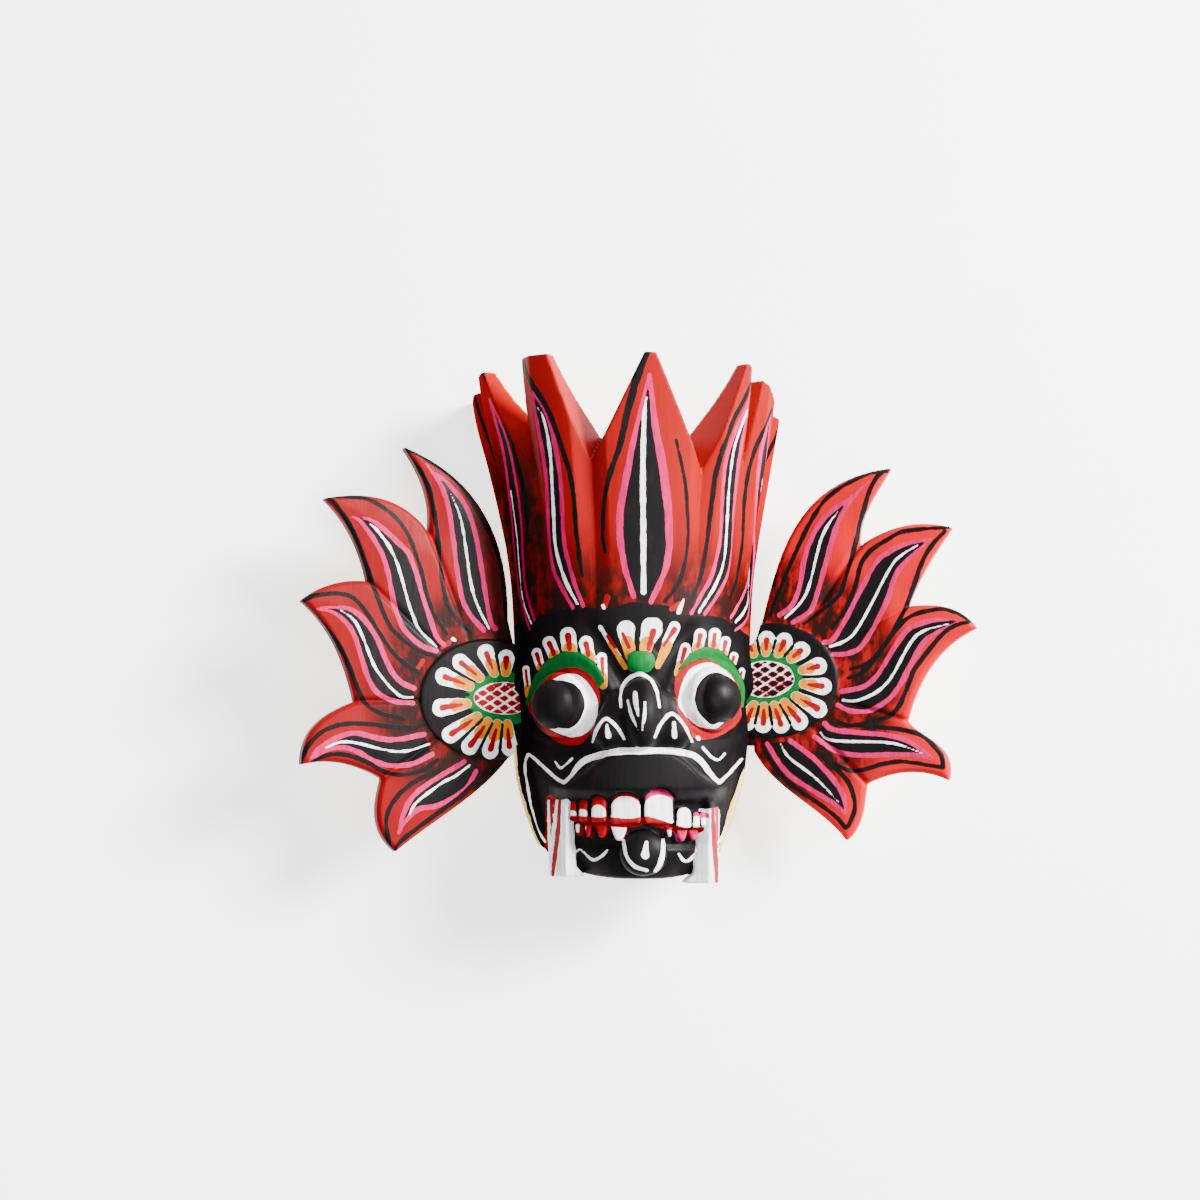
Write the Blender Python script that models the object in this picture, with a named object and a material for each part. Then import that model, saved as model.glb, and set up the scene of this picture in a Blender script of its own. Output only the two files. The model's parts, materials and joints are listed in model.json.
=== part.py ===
"""Carved raksha mask, lying on its flat back rim.

The head is one hollow half-round block of light wood that carries the face and
a crown of seven flames. Two flat flame wings stand in slots in its sides.
X runs to the viewer's right, Y up the face to the crown, Z out of the face.
"""
import math

import bpy
import bmesh
from mathutils import Matrix, Vector

MM = 0.001

# paint, in linear light
HEAD_RED = (0.44, 0.032, 0.024, 1.0)
LEFT_WING_RED = (0.63, 0.037, 0.028, 1.0)
RIGHT_WING_RED = (0.78, 0.054, 0.045, 1.0)
PAINT_ROUGHNESS = 0.38

# head block: (height up the face, size) stations in millimetres
HALF_WIDTH = ((0.0, 16.8), (3.0, 20.6), (7.0, 23.6), (12.0, 26.0), (18.0, 28.3), (25.0, 30.4),
              (34.0, 32.4), (45.0, 33.4), (70.0, 34.0), (87.0, 35.0), (98.0, 36.5),
              (108.0, 38.2), (121.0, 40.5), (135.0, 42.9), (152.0, 44.8))
FRONT_DEPTH = ((0.0, 33.0), (3.0, 36.0), (8.0, 38.5), (15.0, 40.0), (24.0, 41.5), (34.0, 42.0),
               (45.0, 41.5), (60.0, 40.5), (78.0, 40.8), (95.0, 42.0), (108.0, 43.5),
               (121.0, 45.0), (135.0, 46.5), (152.0, 48.0))
# the crown spreads a little further on the left
LEFT_SPREAD = ((98.0, 0.0), (110.0, 0.5), (122.0, 1.3), (136.0, 2.6), (152.0, 3.2))
SIDE_DEPTH = 9.5
RIM_FLARE = ((0.0, 0.6), (12.0, 1.2), (30.0, 1.5), (45.0, 0.6), (60.0, 0.0), (152.0, 0.0))
RIM_ANGLE = 20.0

# hollow
WALL = ((0.0, 10.0), (60.0, 11.0), (100.0, 13.0), (118.0, 14.7), (126.0, 13.6), (138.0, 7.6),
        (150.0, 3.6), (165.0, 3.6))
CHIN_WALL = 13.0
CHIN_ROUNDING = 4.0
CHIN_ROUNDING_REACH = 8.0
HOLLOW_HEIGHTS = (13.0, 16.0, 20.0, 30.0, 42.0, 56.0, 70.0, 84.0, 98.0, 108.0, 118.0, 126.0,
                  133.0, 140.0, 147.0, 154.0, 165.0)
HOLLOW_PAST_BACK = 6.0
HOLLOW_STEPS = 15

# height of the lower edge over the angle round the front: the jaw rises towards the back
CHIN_EDGE = ((-110.0, 11.5), (-90.0, 10.0), (-66.0, 6.0), (-46.0, 3.4), (-25.0, 2.2), (0.0, 2.0),
             (25.0, 2.2), (46.0, 3.4), (66.0, 6.0), (90.0, 10.0), (110.0, 11.5))
# crown: height of the cut top over the angle round the front
CROWN_TOP = ((-110.0, 141.0), (-86.0, 142.0), (-76.0, 145.6), (-64.0, 147.0), (-50.0, 148.6),
             (2.6, 148.4), (46.0, 147.0), (60.0, 142.5), (72.0, 136.5), (80.0, 135.0),
             (110.0, 133.5))
# angle of the valley, its outer and inner height, angle of each side at the top
NOTCHES = ((-82.5, 127.0, 133.0, -87.0, -80.0),
           (-51.5, 116.0, 126.0, -72.0, -50.0),
           (-21.7, 117.0, 126.2, -36.3, 1.4),
           (27.5, 114.2, 125.0, 3.8, 44.6),
           (52.5, 116.0, 126.0, 48.5, 57.5),
           (74.0, 117.0, 126.0, 64.5, 70.0))
NOTCH_TOP = 150.0
NOTCH_PAST_OUTSIDE = 7.0
NOTCH_PAST_INSIDE = 5.0
GROOVE_HALF_ANGLE = 7.0
GROOVE_DEPTH = ((0.0, 0.0), (76.0, 0.0), (84.0, 0.7), (100.0, 1.7), (116.0, 2.6), (152.0, 2.6))

# face
FACE_TOP = 74.0
EYE_X = (-22.4, 20.6)
EYE_Y = (50.6, 52.3)
EYE_RADIUS = 9.2
EYE_RISE = 4.2
PUPIL_RADIUS = 6.6
PUPIL_LIFT = 3.2
PUPIL_RISE = 4.6
SOCKET_DEPTH = 1.2
SOCKET_WIDTH = 2.4
BROW_RADIUS = 13.5
BROW_WIDTH = 3.6
BROW_RISE = 1.5
FURROW_X = 5.5
FURROW_Y = 56.0
FURROW_WIDTH = 3.0
FURROW_DEPTH = 1.5
LIP_TOP = 37.8
LIP_DROP = 8.8
LIP_BOTTOM = 24.5
LIP_RISE = 3.2
LIP_REACH = 25.5
MOUTH_BOTTOM = 9.5
MOUTH_REACH = 21.0
MOUTH_DEPTH = 1.2
NOSE_Y = 47.6
NOSE_SIZE = (5.8, 10.6, 7.6)
NOSE_LEAN = 15.0
NOSE_ROOT_SIZE = (12.0, 9.6, 3.4)
NOSTRIL_X = 9.0
NOSTRIL_Y = 42.8
NOSTRIL_SIZE = (5.2, 5.2, 5.0)
KNOB_Y = 62.4
KNOB_SIZE = (4.4, 3.8, 2.6)
# teeth: place across, place up, width, height
UPPER_TEETH = ((-18.2, 21.5, 2.2, 4.2), (-15.7, 20.9, 2.7, 5.9), (-11.6, 21.3, 4.2, 7.0),
               (-4.5, 21.5, 8.0, 8.3), (4.6, 22.1, 8.3, 9.6), (11.5, 19.1, 4.7, 5.8),
               (15.9, 18.6, 3.4, 4.4))
LOWER_TEETH = ((-14.9, 15.7, 3.6, 3.8), (-10.7, 15.5, 4.0, 3.9), (-6.1, 14.7, 5.1, 4.4),
               (7.6, 15.0, 2.0, 2.9), (11.1, 14.1, 3.8, 3.2), (14.5, 14.2, 3.4, 2.9))
TOOTH_RISE = 2.2
TOOTH_ROUNDNESS = 0.6
TONGUE_SIZE = (6.7, 6.3, 3.6)
TONGUE_Y = 9.2
# tusks: how far out the outer edge, the ridge and the inner edge stand, and the foot's height
LEFT_TUSK_TOP = (25.3, 20.7, 19.0)
LEFT_TUSK_FOOT = (24.6, 20.7, 17.4, 2.6)
RIGHT_TUSK_TOP = (22.9, 19.6, 16.8)
RIGHT_TUSK_FOOT = (22.9, 19.4, 15.1, 0.8)
TUSK_TOP = 24.0
# height up the face and rise of the ridge
TUSK_RIDGE = ((24.0, 2.2), (17.0, 4.2), (12.0, 5.4), (5.0, 5.4), (0.0, 4.2))
TUSK_LEVEL = 12.0
TUSK_OUTER_DROP = 7.0
TUSK_INNER_DROP = 2.2
TUSK_BACK_DROP = 14.0

# wings
WING_SWEEP = 18.0
WING_THICKNESS = 4.5
WING_ROOT_X = 33.5
WING_ROOT_Z = 12.0
TONGUE_LENGTH = 6.0
TONGUE_LOW = 40.0
TONGUE_HIGH = 69.0
ROOT_EDGE = 1.5
SLOT_MOUTH = 5.0
FIT_GAP = 0.35
DISC_RISE = 0.9
# flame tips and the valleys after them, from the crown side down (distance out, height);
# the two ends at the root; how far each side bows outward near its start and near its end
LEFT_WING = (((35.0, 124.4), (58.3, 108.5), (64.6, 79.5), (64.2, 33.7), (36.5, 9.6)),
             ((27.2, 100.2), (45.3, 85.6), (48.8, 51.6), (40.7, 30.1)),
             ((3.2, 76.0), (1.6, 38.0)),
             ((13.0, 15.0), (-3.0, -4.0), (8.0, 5.5), (-3.2, -2.6), (2.5, 2.8), (-4.5, -3.0),
              (4.0, 7.0), (-3.4, -3.0), (3.5, 6.0), (0.0, 4.0)))
RIGHT_WING = (((41.8, 119.3), (59.3, 101.6), (66.0, 72.8), (57.6, 29.6), (28.2, 12.7)),
              ((32.7, 97.1), (46.6, 79.4), (46.0, 46.6), (34.2, 28.9)),
              ((3.0, 71.4), (1.6, 38.3)),
              ((9.3, 21.0), (-1.0, -4.0), (4.0, 4.5), (-0.8, -1.6), (3.0, 5.0), (-6.0, -4.5),
               (0.5, 8.0), (-4.0, -3.5), (1.0, 3.5), (-2.0, 4.0)))
# rosette disc: centre out, centre height, half width, half height
LEFT_DISC = (9.0, 52.9, 21.5, 17.4)
RIGHT_DISC = (6.4, 58.6, 20.2, 16.8)
DISC_END = 4.6
FLAME_STEPS = 8
VALLEY_CUT = 0.74

# rows of the outer skin
CHIN_END = 17.0
CHIN_ROWS = 6
CROWN_START = 80.0
FACE_ROWS = 25
CROWN_ROWS = 10
COLUMN_WIDTH = 5.0
MIDDLE_COLUMNS = 8


def smooth_step(value):
    """Ease from 0 to 1."""
    value = min(1.0, max(0.0, value))
    return value * value * (3.0 - 2.0 * value)


def bump(distance, width):
    """Bell curve, 1 at no distance."""
    return math.exp(-(distance / width) ** 2)


def along(stations, place):
    """Size at a place on a smooth line through (place, size) stations."""
    if place <= stations[0][0]:
        return stations[0][1]
    if place >= stations[-1][0]:
        return stations[-1][1]
    index = 0
    while stations[index + 1][0] < place:
        index += 1
    first, second = stations[index], stations[index + 1]
    before = stations[max(index - 1, 0)]
    after = stations[min(index + 2, len(stations) - 1)]
    span = second[0] - first[0]
    part = (place - first[0]) / span
    slope_in = (second[1] - before[1]) / (second[0] - before[0]) * span
    slope_out = (after[1] - first[1]) / (after[0] - first[0]) * span
    square, cube = part * part, part * part * part
    return ((2 * cube - 3 * square + 1) * first[1] + (cube - 2 * square + part) * slope_in
            + (3 * square - 2 * cube) * second[1] + (cube - square) * slope_out)


def shell_frame(angle, height, inset=0.0):
    """Point and outward direction on the plain half-round block, before relief."""
    half = along(HALF_WIDTH, height) - inset
    if angle < 0.0:
        half += along(LEFT_SPREAD, height) * math.sin(math.radians(angle)) ** 2
    depth = along(FRONT_DEPTH, height) - SIDE_DEPTH - inset
    side = 1.0 if angle > 0.0 else -1.0
    if abs(angle) <= 90.0:
        turn = math.radians(angle)
        point = Vector((half * math.sin(turn), height, SIDE_DEPTH + depth * math.cos(turn)))
        normal = Vector((depth * math.sin(turn), 0.0, half * math.cos(turn))).normalized()
        return point, normal
    part = (abs(angle) - 90.0) / RIM_ANGLE
    flare = along(RIM_FLARE, height) * part
    point = Vector((side * (half + flare), height, SIDE_DEPTH * (1.0 - part)))
    return point, Vector((side, 0.0, 0.0))


def relief(angle, height):
    """Carved height over the plain block, in millimetres."""
    point = shell_frame(angle, height)[0]
    across, up = point.x, point.y
    value = 0.0
    groove = along(GROOVE_DEPTH, height)
    for notch in NOTCHES:
        near = 1.0 - abs(angle - notch[0]) / GROOVE_HALF_ANGLE
        value -= groove * max(0.0, near)
    if up > FACE_TOP or abs(angle) >= 90.0:
        return value
    # sockets and brows
    for side, eye_x, eye_y in zip((-1.0, 1.0), EYE_X, EYE_Y):
        reach = math.hypot(across - eye_x, up - eye_y)
        value -= SOCKET_DEPTH * bump(reach - EYE_RADIUS - 1.2, SOCKET_WIDTH)
        above = smooth_step((up - eye_y + 1.0) / 6.0)
        value += BROW_RISE * above * bump(reach - BROW_RADIUS, BROW_WIDTH)
        # furrow from the brow to the side of the nose
        furrow = FURROW_X + 0.5 * (up - FURROW_Y)
        ends = smooth_step((up - FURROW_Y + 6.0) / 5.0) * smooth_step((FACE_TOP + 2.0 - up) / 8.0)
        value -= FURROW_DEPTH * ends * bump(side * across - furrow, FURROW_WIDTH)
    # upper lip, a smooth bulge under a drooping edge
    edge = LIP_TOP - LIP_DROP * smooth_step((abs(across) - 7.0) / 15.0)
    lip = smooth_step((edge + 1.0 - up) / 3.0) * smooth_step((up - LIP_BOTTOM + 2.0) / 3.0)
    value += LIP_RISE * lip * smooth_step((LIP_REACH - abs(across)) / 5.0)
    # mouth, set back a little
    mouth = smooth_step((LIP_BOTTOM - up) / 2.0) * smooth_step((up - MOUTH_BOTTOM) / 2.5)
    value -= MOUTH_DEPTH * mouth * smooth_step((MOUTH_REACH - abs(across)) / 3.0)
    return value


def carved_point(angle, height, lift=0.0):
    """Point on the carved front and its outward direction."""
    point, normal = shell_frame(angle, height)
    return point + normal * (relief(angle, height) + lift), normal


def face_angle(across, height):
    """Angle round the front of a place across the face."""
    return math.degrees(math.asin(across / along(HALF_WIDTH, height)))


def column_angles():
    """Columns of the outer skin, with one on every groove."""
    marks = [-90.0 - RIM_ANGLE, -90.0]
    marks += [notch[0] for notch in NOTCHES]
    marks += [90.0, 90.0 + RIM_ANGLE]
    angles = []
    for low, high in zip(marks, marks[1:]):
        steps = max(2, round((high - low) / COLUMN_WIDTH))
        if abs(high) > 90.0 or abs(low) > 90.0:
            steps = 2
        steps = min(steps, MIDDLE_COLUMNS)
        angles += [low + (high - low) * step / steps for step in range(steps)]
    return angles + [marks[-1]]


def new_object(name, mesh_builder, collection):
    """Turn a bmesh in millimetres into an object in metres."""
    bmesh.ops.recalc_face_normals(mesh_builder, faces=mesh_builder.faces)
    bmesh.ops.scale(mesh_builder, vec=(MM, MM, MM), verts=mesh_builder.verts)
    mesh = bpy.data.meshes.new(name)
    mesh_builder.to_mesh(mesh)
    mesh_builder.free()
    item = bpy.data.objects.new(name, mesh)
    collection.objects.link(item)
    return item


def skin_solid(rows):
    """Closed solid from rows of points that run from one rim round to the other."""
    shape = bmesh.new()
    rings = [[shape.verts.new(point) for point in row] for row in rows]
    count = len(rings[0])
    for low, high in zip(rings, rings[1:]):
        for index in range(count - 1):
            shape.faces.new((low[index], low[index + 1], high[index + 1], high[index]))
        shape.faces.new((low[-1], low[0], high[0], high[-1]))
    for ring in (rings[0], rings[-1]):
        for index in range((count - 1) // 2):
            other = count - 1 - index
            corners = [ring[index], ring[index + 1]]
            if other - 1 != index + 1:
                corners.append(ring[other - 1])
            corners.append(ring[other])
            shape.faces.new(corners)
    return shape


def head_block(collection):
    """The outside of the head, solid."""
    angles = column_angles()
    rows = []
    for step in range(CHIN_ROWS):
        row = []
        for angle in angles:
            edge = along(CHIN_EDGE, angle)
            row.append(carved_point(angle, edge + (CHIN_END - edge) * step / CHIN_ROWS)[0])
        rows.append(row)
    for step in range(FACE_ROWS):
        height = CHIN_END + (CROWN_START - CHIN_END) * step / FACE_ROWS
        rows.append([carved_point(angle, height)[0] for angle in angles])
    for step in range(CROWN_ROWS + 1):
        row = []
        for angle in angles:
            top = along(CROWN_TOP, angle)
            row.append(carved_point(angle, CROWN_START + (top - CROWN_START) * step / CROWN_ROWS)[0])
        rows.append(row)
    return new_object("head", skin_solid(rows), collection)


def hollow_cutter(collection):
    """The hollow behind the face, open at the back and at the top."""
    angles = [-90.0 + 180.0 * step / HOLLOW_STEPS for step in range(HOLLOW_STEPS + 1)]
    rows = []
    for height in HOLLOW_HEIGHTS:
        above_chin = (height - CHIN_WALL) / CHIN_ROUNDING_REACH
        inset = along(WALL, height) + CHIN_ROUNDING * (1.0 - smooth_step(above_chin))
        row = []
        for angle in angles:
            row.append(shell_frame(angle, height, inset)[0])
        first, last = row[0].copy(), row[-1].copy()
        first.z = last.z = -HOLLOW_PAST_BACK
        rows.append([first] + row + [last])
    return new_object("hollow", skin_solid(rows), collection)


def notch_cutter(notch, collection):
    """Wedge between two crown flames, its cut faces pointing at the middle of the block."""
    valley, outer_height, inner_height, left, right = notch

    def cut_line(angle, high, low):
        outer = shell_frame(angle, high)[0]
        inner = shell_frame(angle, low, along(WALL, low))[0]
        reach = (outer - inner).normalized()
        return outer + reach * NOTCH_PAST_OUTSIDE, inner - reach * NOTCH_PAST_INSIDE

    bottom = cut_line(valley, outer_height, inner_height)
    sides = []
    for angle in (left, right):
        top = cut_line(angle, NOTCH_TOP, NOTCH_TOP)
        sides.append([low + (high - low) * 1.25 for low, high in zip(bottom, top)])
    shape = bmesh.new()
    outer_ring = [shape.verts.new(point) for point in (bottom[0], sides[0][0], sides[1][0])]
    inner_ring = [shape.verts.new(point) for point in (bottom[1], sides[0][1], sides[1][1])]
    shape.faces.new(outer_ring)
    shape.faces.new(inner_ring[::-1])
    for index in range(3):
        other = (index + 1) % 3
        shape.faces.new((outer_ring[index], inner_ring[index], inner_ring[other]))
        shape.faces.new((outer_ring[index], inner_ring[other], outer_ring[other]))
    return new_object("notch", shape, collection)


def face_matrix(across, height, lift):
    """Frame standing on the face: x across, y up the face, z outward."""
    angle = face_angle(across, height)
    point, normal = carved_point(angle, height, lift)
    upright = Vector((0.0, 1.0, 0.0))
    sideways = upright.cross(normal).normalized()
    frame = Matrix((sideways, normal.cross(sideways), normal)).transposed().to_4x4()
    frame.translation = point
    return frame


def ellipsoid(name, frame, radii, segments, rings, collection, roundness=1.0):
    """Rounded lump with the given half sizes; a roundness below 1 squares it off."""
    shape = bmesh.new()
    bmesh.ops.create_uvsphere(shape, u_segments=segments, v_segments=rings, radius=1.0)
    for vert in shape.verts:
        local = [math.copysign(abs(part) ** roundness, part) * radius
                 for part, radius in zip(vert.co, radii)]
        vert.co = frame @ Vector(local)
    return new_object(name, shape, collection)


def tilted(frame, degrees):
    """The frame leaning back about its own x axis."""
    return frame @ Matrix.Rotation(math.radians(degrees), 4, "X")


def tusk(side, top, foot, collection):
    """Ridged prism at a corner of the mouth, straight down to its foot."""
    foot_height = foot[3]
    shape = bmesh.new()
    rings = []
    for height in (TUSK_TOP, 17.0, TUSK_LEVEL, 5.0, foot_height):
        part = (TUSK_TOP - height) / (TUSK_TOP - foot_height)
        outer, ridge, inner = [high + (low - high) * part for high, low in zip(top, foot)]
        level = max(height, TUSK_LEVEL)
        surface = carved_point(face_angle(side * ridge, level), level)[0].z
        crest = surface + along(TUSK_RIDGE[::-1], height)
        corners = ((outer, TUSK_BACK_DROP), (outer, TUSK_OUTER_DROP), (ridge, 0.0),
                   (inner, TUSK_INNER_DROP), (inner, TUSK_BACK_DROP))
        rings.append([shape.verts.new((side * out, height, crest - drop)) for out, drop in corners])
    for low, high in zip(rings, rings[1:]):
        for index in range(5):
            other = (index + 1) % 5
            shape.faces.new((low[index], low[other], high[other]))
            shape.faces.new((low[index], high[other], high[index]))
    shape.faces.new(rings[0])
    shape.faces.new(rings[-1][::-1])
    bmesh.ops.triangulate(shape, faces=[face for face in shape.faces if len(face.verts) > 4])
    return new_object("tusk", shape, collection)


def face_lumps(collection):
    """Eyes, nose, teeth, tongue, tusks and the knob on the brow."""
    lumps = []
    for side, eye_x, eye_y in zip((-1.0, 1.0), EYE_X, EYE_Y):
        frame = face_matrix(eye_x, eye_y, 0.4)
        lumps.append(ellipsoid("eye", frame, (EYE_RADIUS, EYE_RADIUS, EYE_RISE), 24, 12,
                               collection))
        frame = face_matrix(eye_x, eye_y, PUPIL_LIFT)
        lumps.append(ellipsoid("pupil", frame, (PUPIL_RADIUS, PUPIL_RADIUS, PUPIL_RISE), 20, 12,
                               collection))
        frame = face_matrix(side * NOSTRIL_X, NOSTRIL_Y, 0.0)
        lumps.append(ellipsoid("nostril", frame, NOSTRIL_SIZE, 16, 10, collection))
    frame = face_matrix(0.0, NOSE_Y - 1.5, 0.0)
    lumps.append(ellipsoid("nose_root", frame, NOSE_ROOT_SIZE, 20, 10, collection))
    frame = tilted(face_matrix(0.0, NOSE_Y, 0.0), -NOSE_LEAN)
    lumps.append(ellipsoid("nose", frame, NOSE_SIZE, 20, 14, collection))
    frame = face_matrix(-0.3, KNOB_Y, -0.6)
    lumps.append(ellipsoid("knob", frame, KNOB_SIZE, 16, 8, collection))
    frame = face_matrix(0.5, TONGUE_Y, 0.6)
    lumps.append(ellipsoid("tongue", frame, TONGUE_SIZE, 20, 10, collection))
    for across, height, width, tall in UPPER_TEETH + LOWER_TEETH:
        frame = face_matrix(across, height, 0.2)
        radii = (width * 0.51, tall * 0.51, TOOTH_RISE)
        lumps.append(ellipsoid("tooth", frame, radii, 12, 6, collection, TOOTH_ROUNDNESS))
    lumps.append(tusk(-1.0, LEFT_TUSK_TOP, LEFT_TUSK_FOOT, collection))
    lumps.append(tusk(1.0, RIGHT_TUSK_TOP, RIGHT_TUSK_FOOT, collection))
    return lumps


def wing_frame(side):
    """Wing plane in the row: first axis out, second up the face, third to the front."""
    sweep = math.radians(WING_SWEEP)
    out = Vector((side * math.cos(sweep), 0.0, math.sin(sweep)))
    up = Vector((0.0, 1.0, 0.0))
    front = Vector((-side * math.sin(sweep), 0.0, math.cos(sweep)))
    frame = Matrix((out, up, front)).transposed().to_4x4()
    frame.translation = Vector((side * WING_ROOT_X, 0.0, WING_ROOT_Z))
    return frame


def wing_stops(tips, valleys, root, bows):
    """Corner points of a wing with their two curve handles, from the root round and back."""
    corners = [root[0]]
    for tip, valley in zip(tips, valleys + (root[1],)):
        corners += [tip, valley]
    corners = [Vector(corner) for corner in corners]
    handles = [[corner.copy(), corner.copy()] for corner in corners]
    for index, bow in enumerate(bows):
        start, end = corners[index], corners[index + 1]
        chord = end - start
        outward = Vector((-chord.y, chord.x)).normalized()
        handles[index][1] = start + chord / 3.0 + outward * bow[0]
        handles[index + 1][0] = start + chord * 2.0 / 3.0 + outward * bow[1]
    tongue = ((ROOT_EDGE, TONGUE_LOW), (-TONGUE_LENGTH, TONGUE_LOW),
              (-TONGUE_LENGTH, TONGUE_HIGH), (ROOT_EDGE, TONGUE_HIGH))
    for corner in tongue:
        corners.append(Vector(corner))
        handles.append([Vector(corner), Vector(corner)])
    return corners, handles


def wing_plate(name, side, layout, collection):
    """Flat wing cut from its outline, as a mesh."""
    corners, handles = wing_stops(*layout)
    curve = bpy.data.curves.new(name, "CURVE")
    curve.dimensions = "2D"
    curve.fill_mode = "BOTH"
    curve.resolution_u = FLAME_STEPS
    curve.extrude = WING_THICKNESS / 2.0 * MM
    spline = curve.splines.new("BEZIER")
    spline.bezier_points.add(len(corners) - 1)
    spline.use_cyclic_u = True
    for point, corner, (before, after) in zip(spline.bezier_points, corners, handles):
        point.handle_left_type = point.handle_right_type = "FREE"
        point.co = corner.to_3d() * MM
        point.handle_left = before.to_3d() * MM
        point.handle_right = after.to_3d() * MM
    drawn = bpy.data.objects.new(name + "_outline", curve)
    collection.objects.link(drawn)
    bpy.context.view_layer.update()
    flat = bpy.data.meshes.new_from_object(drawn.evaluated_get(
        bpy.context.evaluated_depsgraph_get()))
    bpy.data.objects.remove(drawn, do_unlink=True)
    shape = bmesh.new()
    shape.from_mesh(flat)
    bpy.data.meshes.remove(flat)
    bmesh.ops.remove_doubles(shape, verts=shape.verts, dist=0.00001)
    bmesh.ops.scale(shape, vec=(1.0 / MM, 1.0 / MM, 1.0 / MM), verts=shape.verts)
    bmesh.ops.transform(shape, matrix=wing_frame(side), verts=shape.verts)
    return new_object(name, shape, collection)


def wing_slot(side, collection):
    """Cutter for the slot in the head's side that takes a wing's tongue."""
    deep = TONGUE_LENGTH + FIT_GAP
    tall = TONGUE_HIGH - TONGUE_LOW + 2.0 * FIT_GAP
    middle = Matrix.Translation((SLOT_MOUTH / 2.0 - deep / 2.0, (TONGUE_LOW + TONGUE_HIGH) / 2.0, 0.0))
    size = Matrix.Diagonal((SLOT_MOUTH + deep, tall, WING_THICKNESS + 2.0 * FIT_GAP, 1.0))
    shape = bmesh.new()
    bmesh.ops.create_cube(shape, size=1.0, matrix=wing_frame(side) @ middle @ size)
    return new_object("slot", shape, collection)


def wing_disc(side, disc, collection):
    """Low raised disc that carries the painted rosette, cut off beside the head."""
    place, height, wide, tall = disc
    half = WING_THICKNESS / 2.0
    frame = wing_frame(side)
    shape = bmesh.new()
    middle = Matrix.Translation((place, height, half + DISC_RISE - 1.2))
    spread = Matrix.Diagonal((wide, tall, 1.0, 1.0))
    bmesh.ops.create_cone(shape, cap_ends=True, segments=48, radius1=1.0, radius2=0.96,
                          depth=2.4, matrix=frame @ middle @ spread)
    item = new_object("disc", shape, collection)
    shape = bmesh.new()
    block = Matrix.Translation((DISC_END - 40.0, height, half)) @ Matrix.Diagonal((80.0, 60.0, 20.0, 1.0))
    bmesh.ops.create_cube(shape, size=1.0, matrix=frame @ block)
    combine(item, new_object("disc_end", shape, collection), "DIFFERENCE")
    return item


def wing_groove(side, valley, disc, collection):
    """Tapering three-sided cutter from a valley between flames towards the disc."""
    start, centre = Vector(valley), Vector(disc[:2])
    inward = (centre - start).normalized()
    length = (centre - start).length * VALLEY_CUT
    middle = start + inward * (length / 2.0 - 3.0)
    across = Vector((-inward.y, inward.x))
    lean = Matrix(((across.x, 0.0, inward.x), (across.y, 0.0, inward.y), (0.0, 1.0, 0.0)))
    lean = lean.to_4x4()
    lean.translation = Vector((middle.x, middle.y, WING_THICKNESS / 2.0 + 0.55))
    shape = bmesh.new()
    bmesh.ops.create_cone(shape, cap_ends=True, segments=3, radius1=1.5, radius2=0.9,
                          depth=length, matrix=wing_frame(side) @ lean)
    return new_object("groove", shape, collection)


def combine(target, tool, operation):
    """Apply one exact Boolean and keep the tool hidden."""
    modifier = target.modifiers.new("cut", "BOOLEAN")
    modifier.operation = operation
    modifier.solver = "EXACT"
    modifier.object = tool
    bpy.context.view_layer.objects.active = target
    with bpy.context.temp_override(object=target, active_object=target):
        bpy.ops.object.modifier_apply(modifier=modifier.name)
    tool.hide_render = True
    tool.display_type = "WIRE"


def paint(item, name, colour):
    """One material of its own."""
    material = bpy.data.materials.new(name)
    material.use_nodes = True
    shader = material.node_tree.nodes["Principled BSDF"]
    shader.inputs["Base Color"].default_value = colour
    shader.inputs["Roughness"].default_value = PAINT_ROUGHNESS
    item.data.materials.clear()
    item.data.materials.append(material)


def tidy_mesh(item):
    """Weld stray points left by the cuts."""
    shape = bmesh.new()
    shape.from_mesh(item.data)
    bmesh.ops.remove_doubles(shape, verts=shape.verts, dist=0.000002)
    bmesh.ops.dissolve_degenerate(shape, edges=shape.edges, dist=0.000002)
    bmesh.ops.triangulate(shape, faces=shape.faces)
    shape.to_mesh(item.data)
    shape.free()


def centre_on_base(items):
    """Move all pieces so that the middle of their base is the origin."""
    points = [vert.co for item in items for vert in item.data.vertices]
    low = [min(point[axis] for point in points) for axis in range(3)]
    high = [max(point[axis] for point in points) for axis in range(3)]
    shift = Vector((-(low[0] + high[0]) / 2.0, -(low[1] + high[1]) / 2.0, -low[2]))
    for item in items:
        item.data.transform(Matrix.Translation(shift))


def build():
    for item in list(bpy.data.objects):
        bpy.data.objects.remove(item, do_unlink=True)
    mask = bpy.data.collections.new("raksha_mask")
    cutters = bpy.data.collections.new("cutters")
    bpy.context.scene.collection.children.link(mask)
    bpy.context.scene.collection.children.link(cutters)

    head = head_block(mask)
    for lump in face_lumps(cutters):
        combine(head, lump, "UNION")
    combine(head, hollow_cutter(cutters), "DIFFERENCE")
    for notch in NOTCHES:
        combine(head, notch_cutter(notch, cutters), "DIFFERENCE")

    wings = []
    layouts = (("wing_left", -1.0, LEFT_WING, LEFT_DISC), ("wing_right", 1.0, RIGHT_WING, RIGHT_DISC))
    for name, side, layout, disc in layouts:
        combine(head, wing_slot(side, cutters), "DIFFERENCE")
        plate = wing_plate(name, side, layout, mask)
        for valley in layout[1]:
            combine(plate, wing_groove(side, valley, disc, cutters), "DIFFERENCE")
        combine(plate, wing_disc(side, disc, cutters), "UNION")
        wings.append(plate)

    paint(head, "painted_head", HEAD_RED)
    paint(wings[0], "painted_wing_left", LEFT_WING_RED)
    paint(wings[1], "painted_wing_right", RIGHT_WING_RED)
    for item in [head] + wings:
        tidy_mesh(item)
    centre_on_base([head] + wings)


build()
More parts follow.
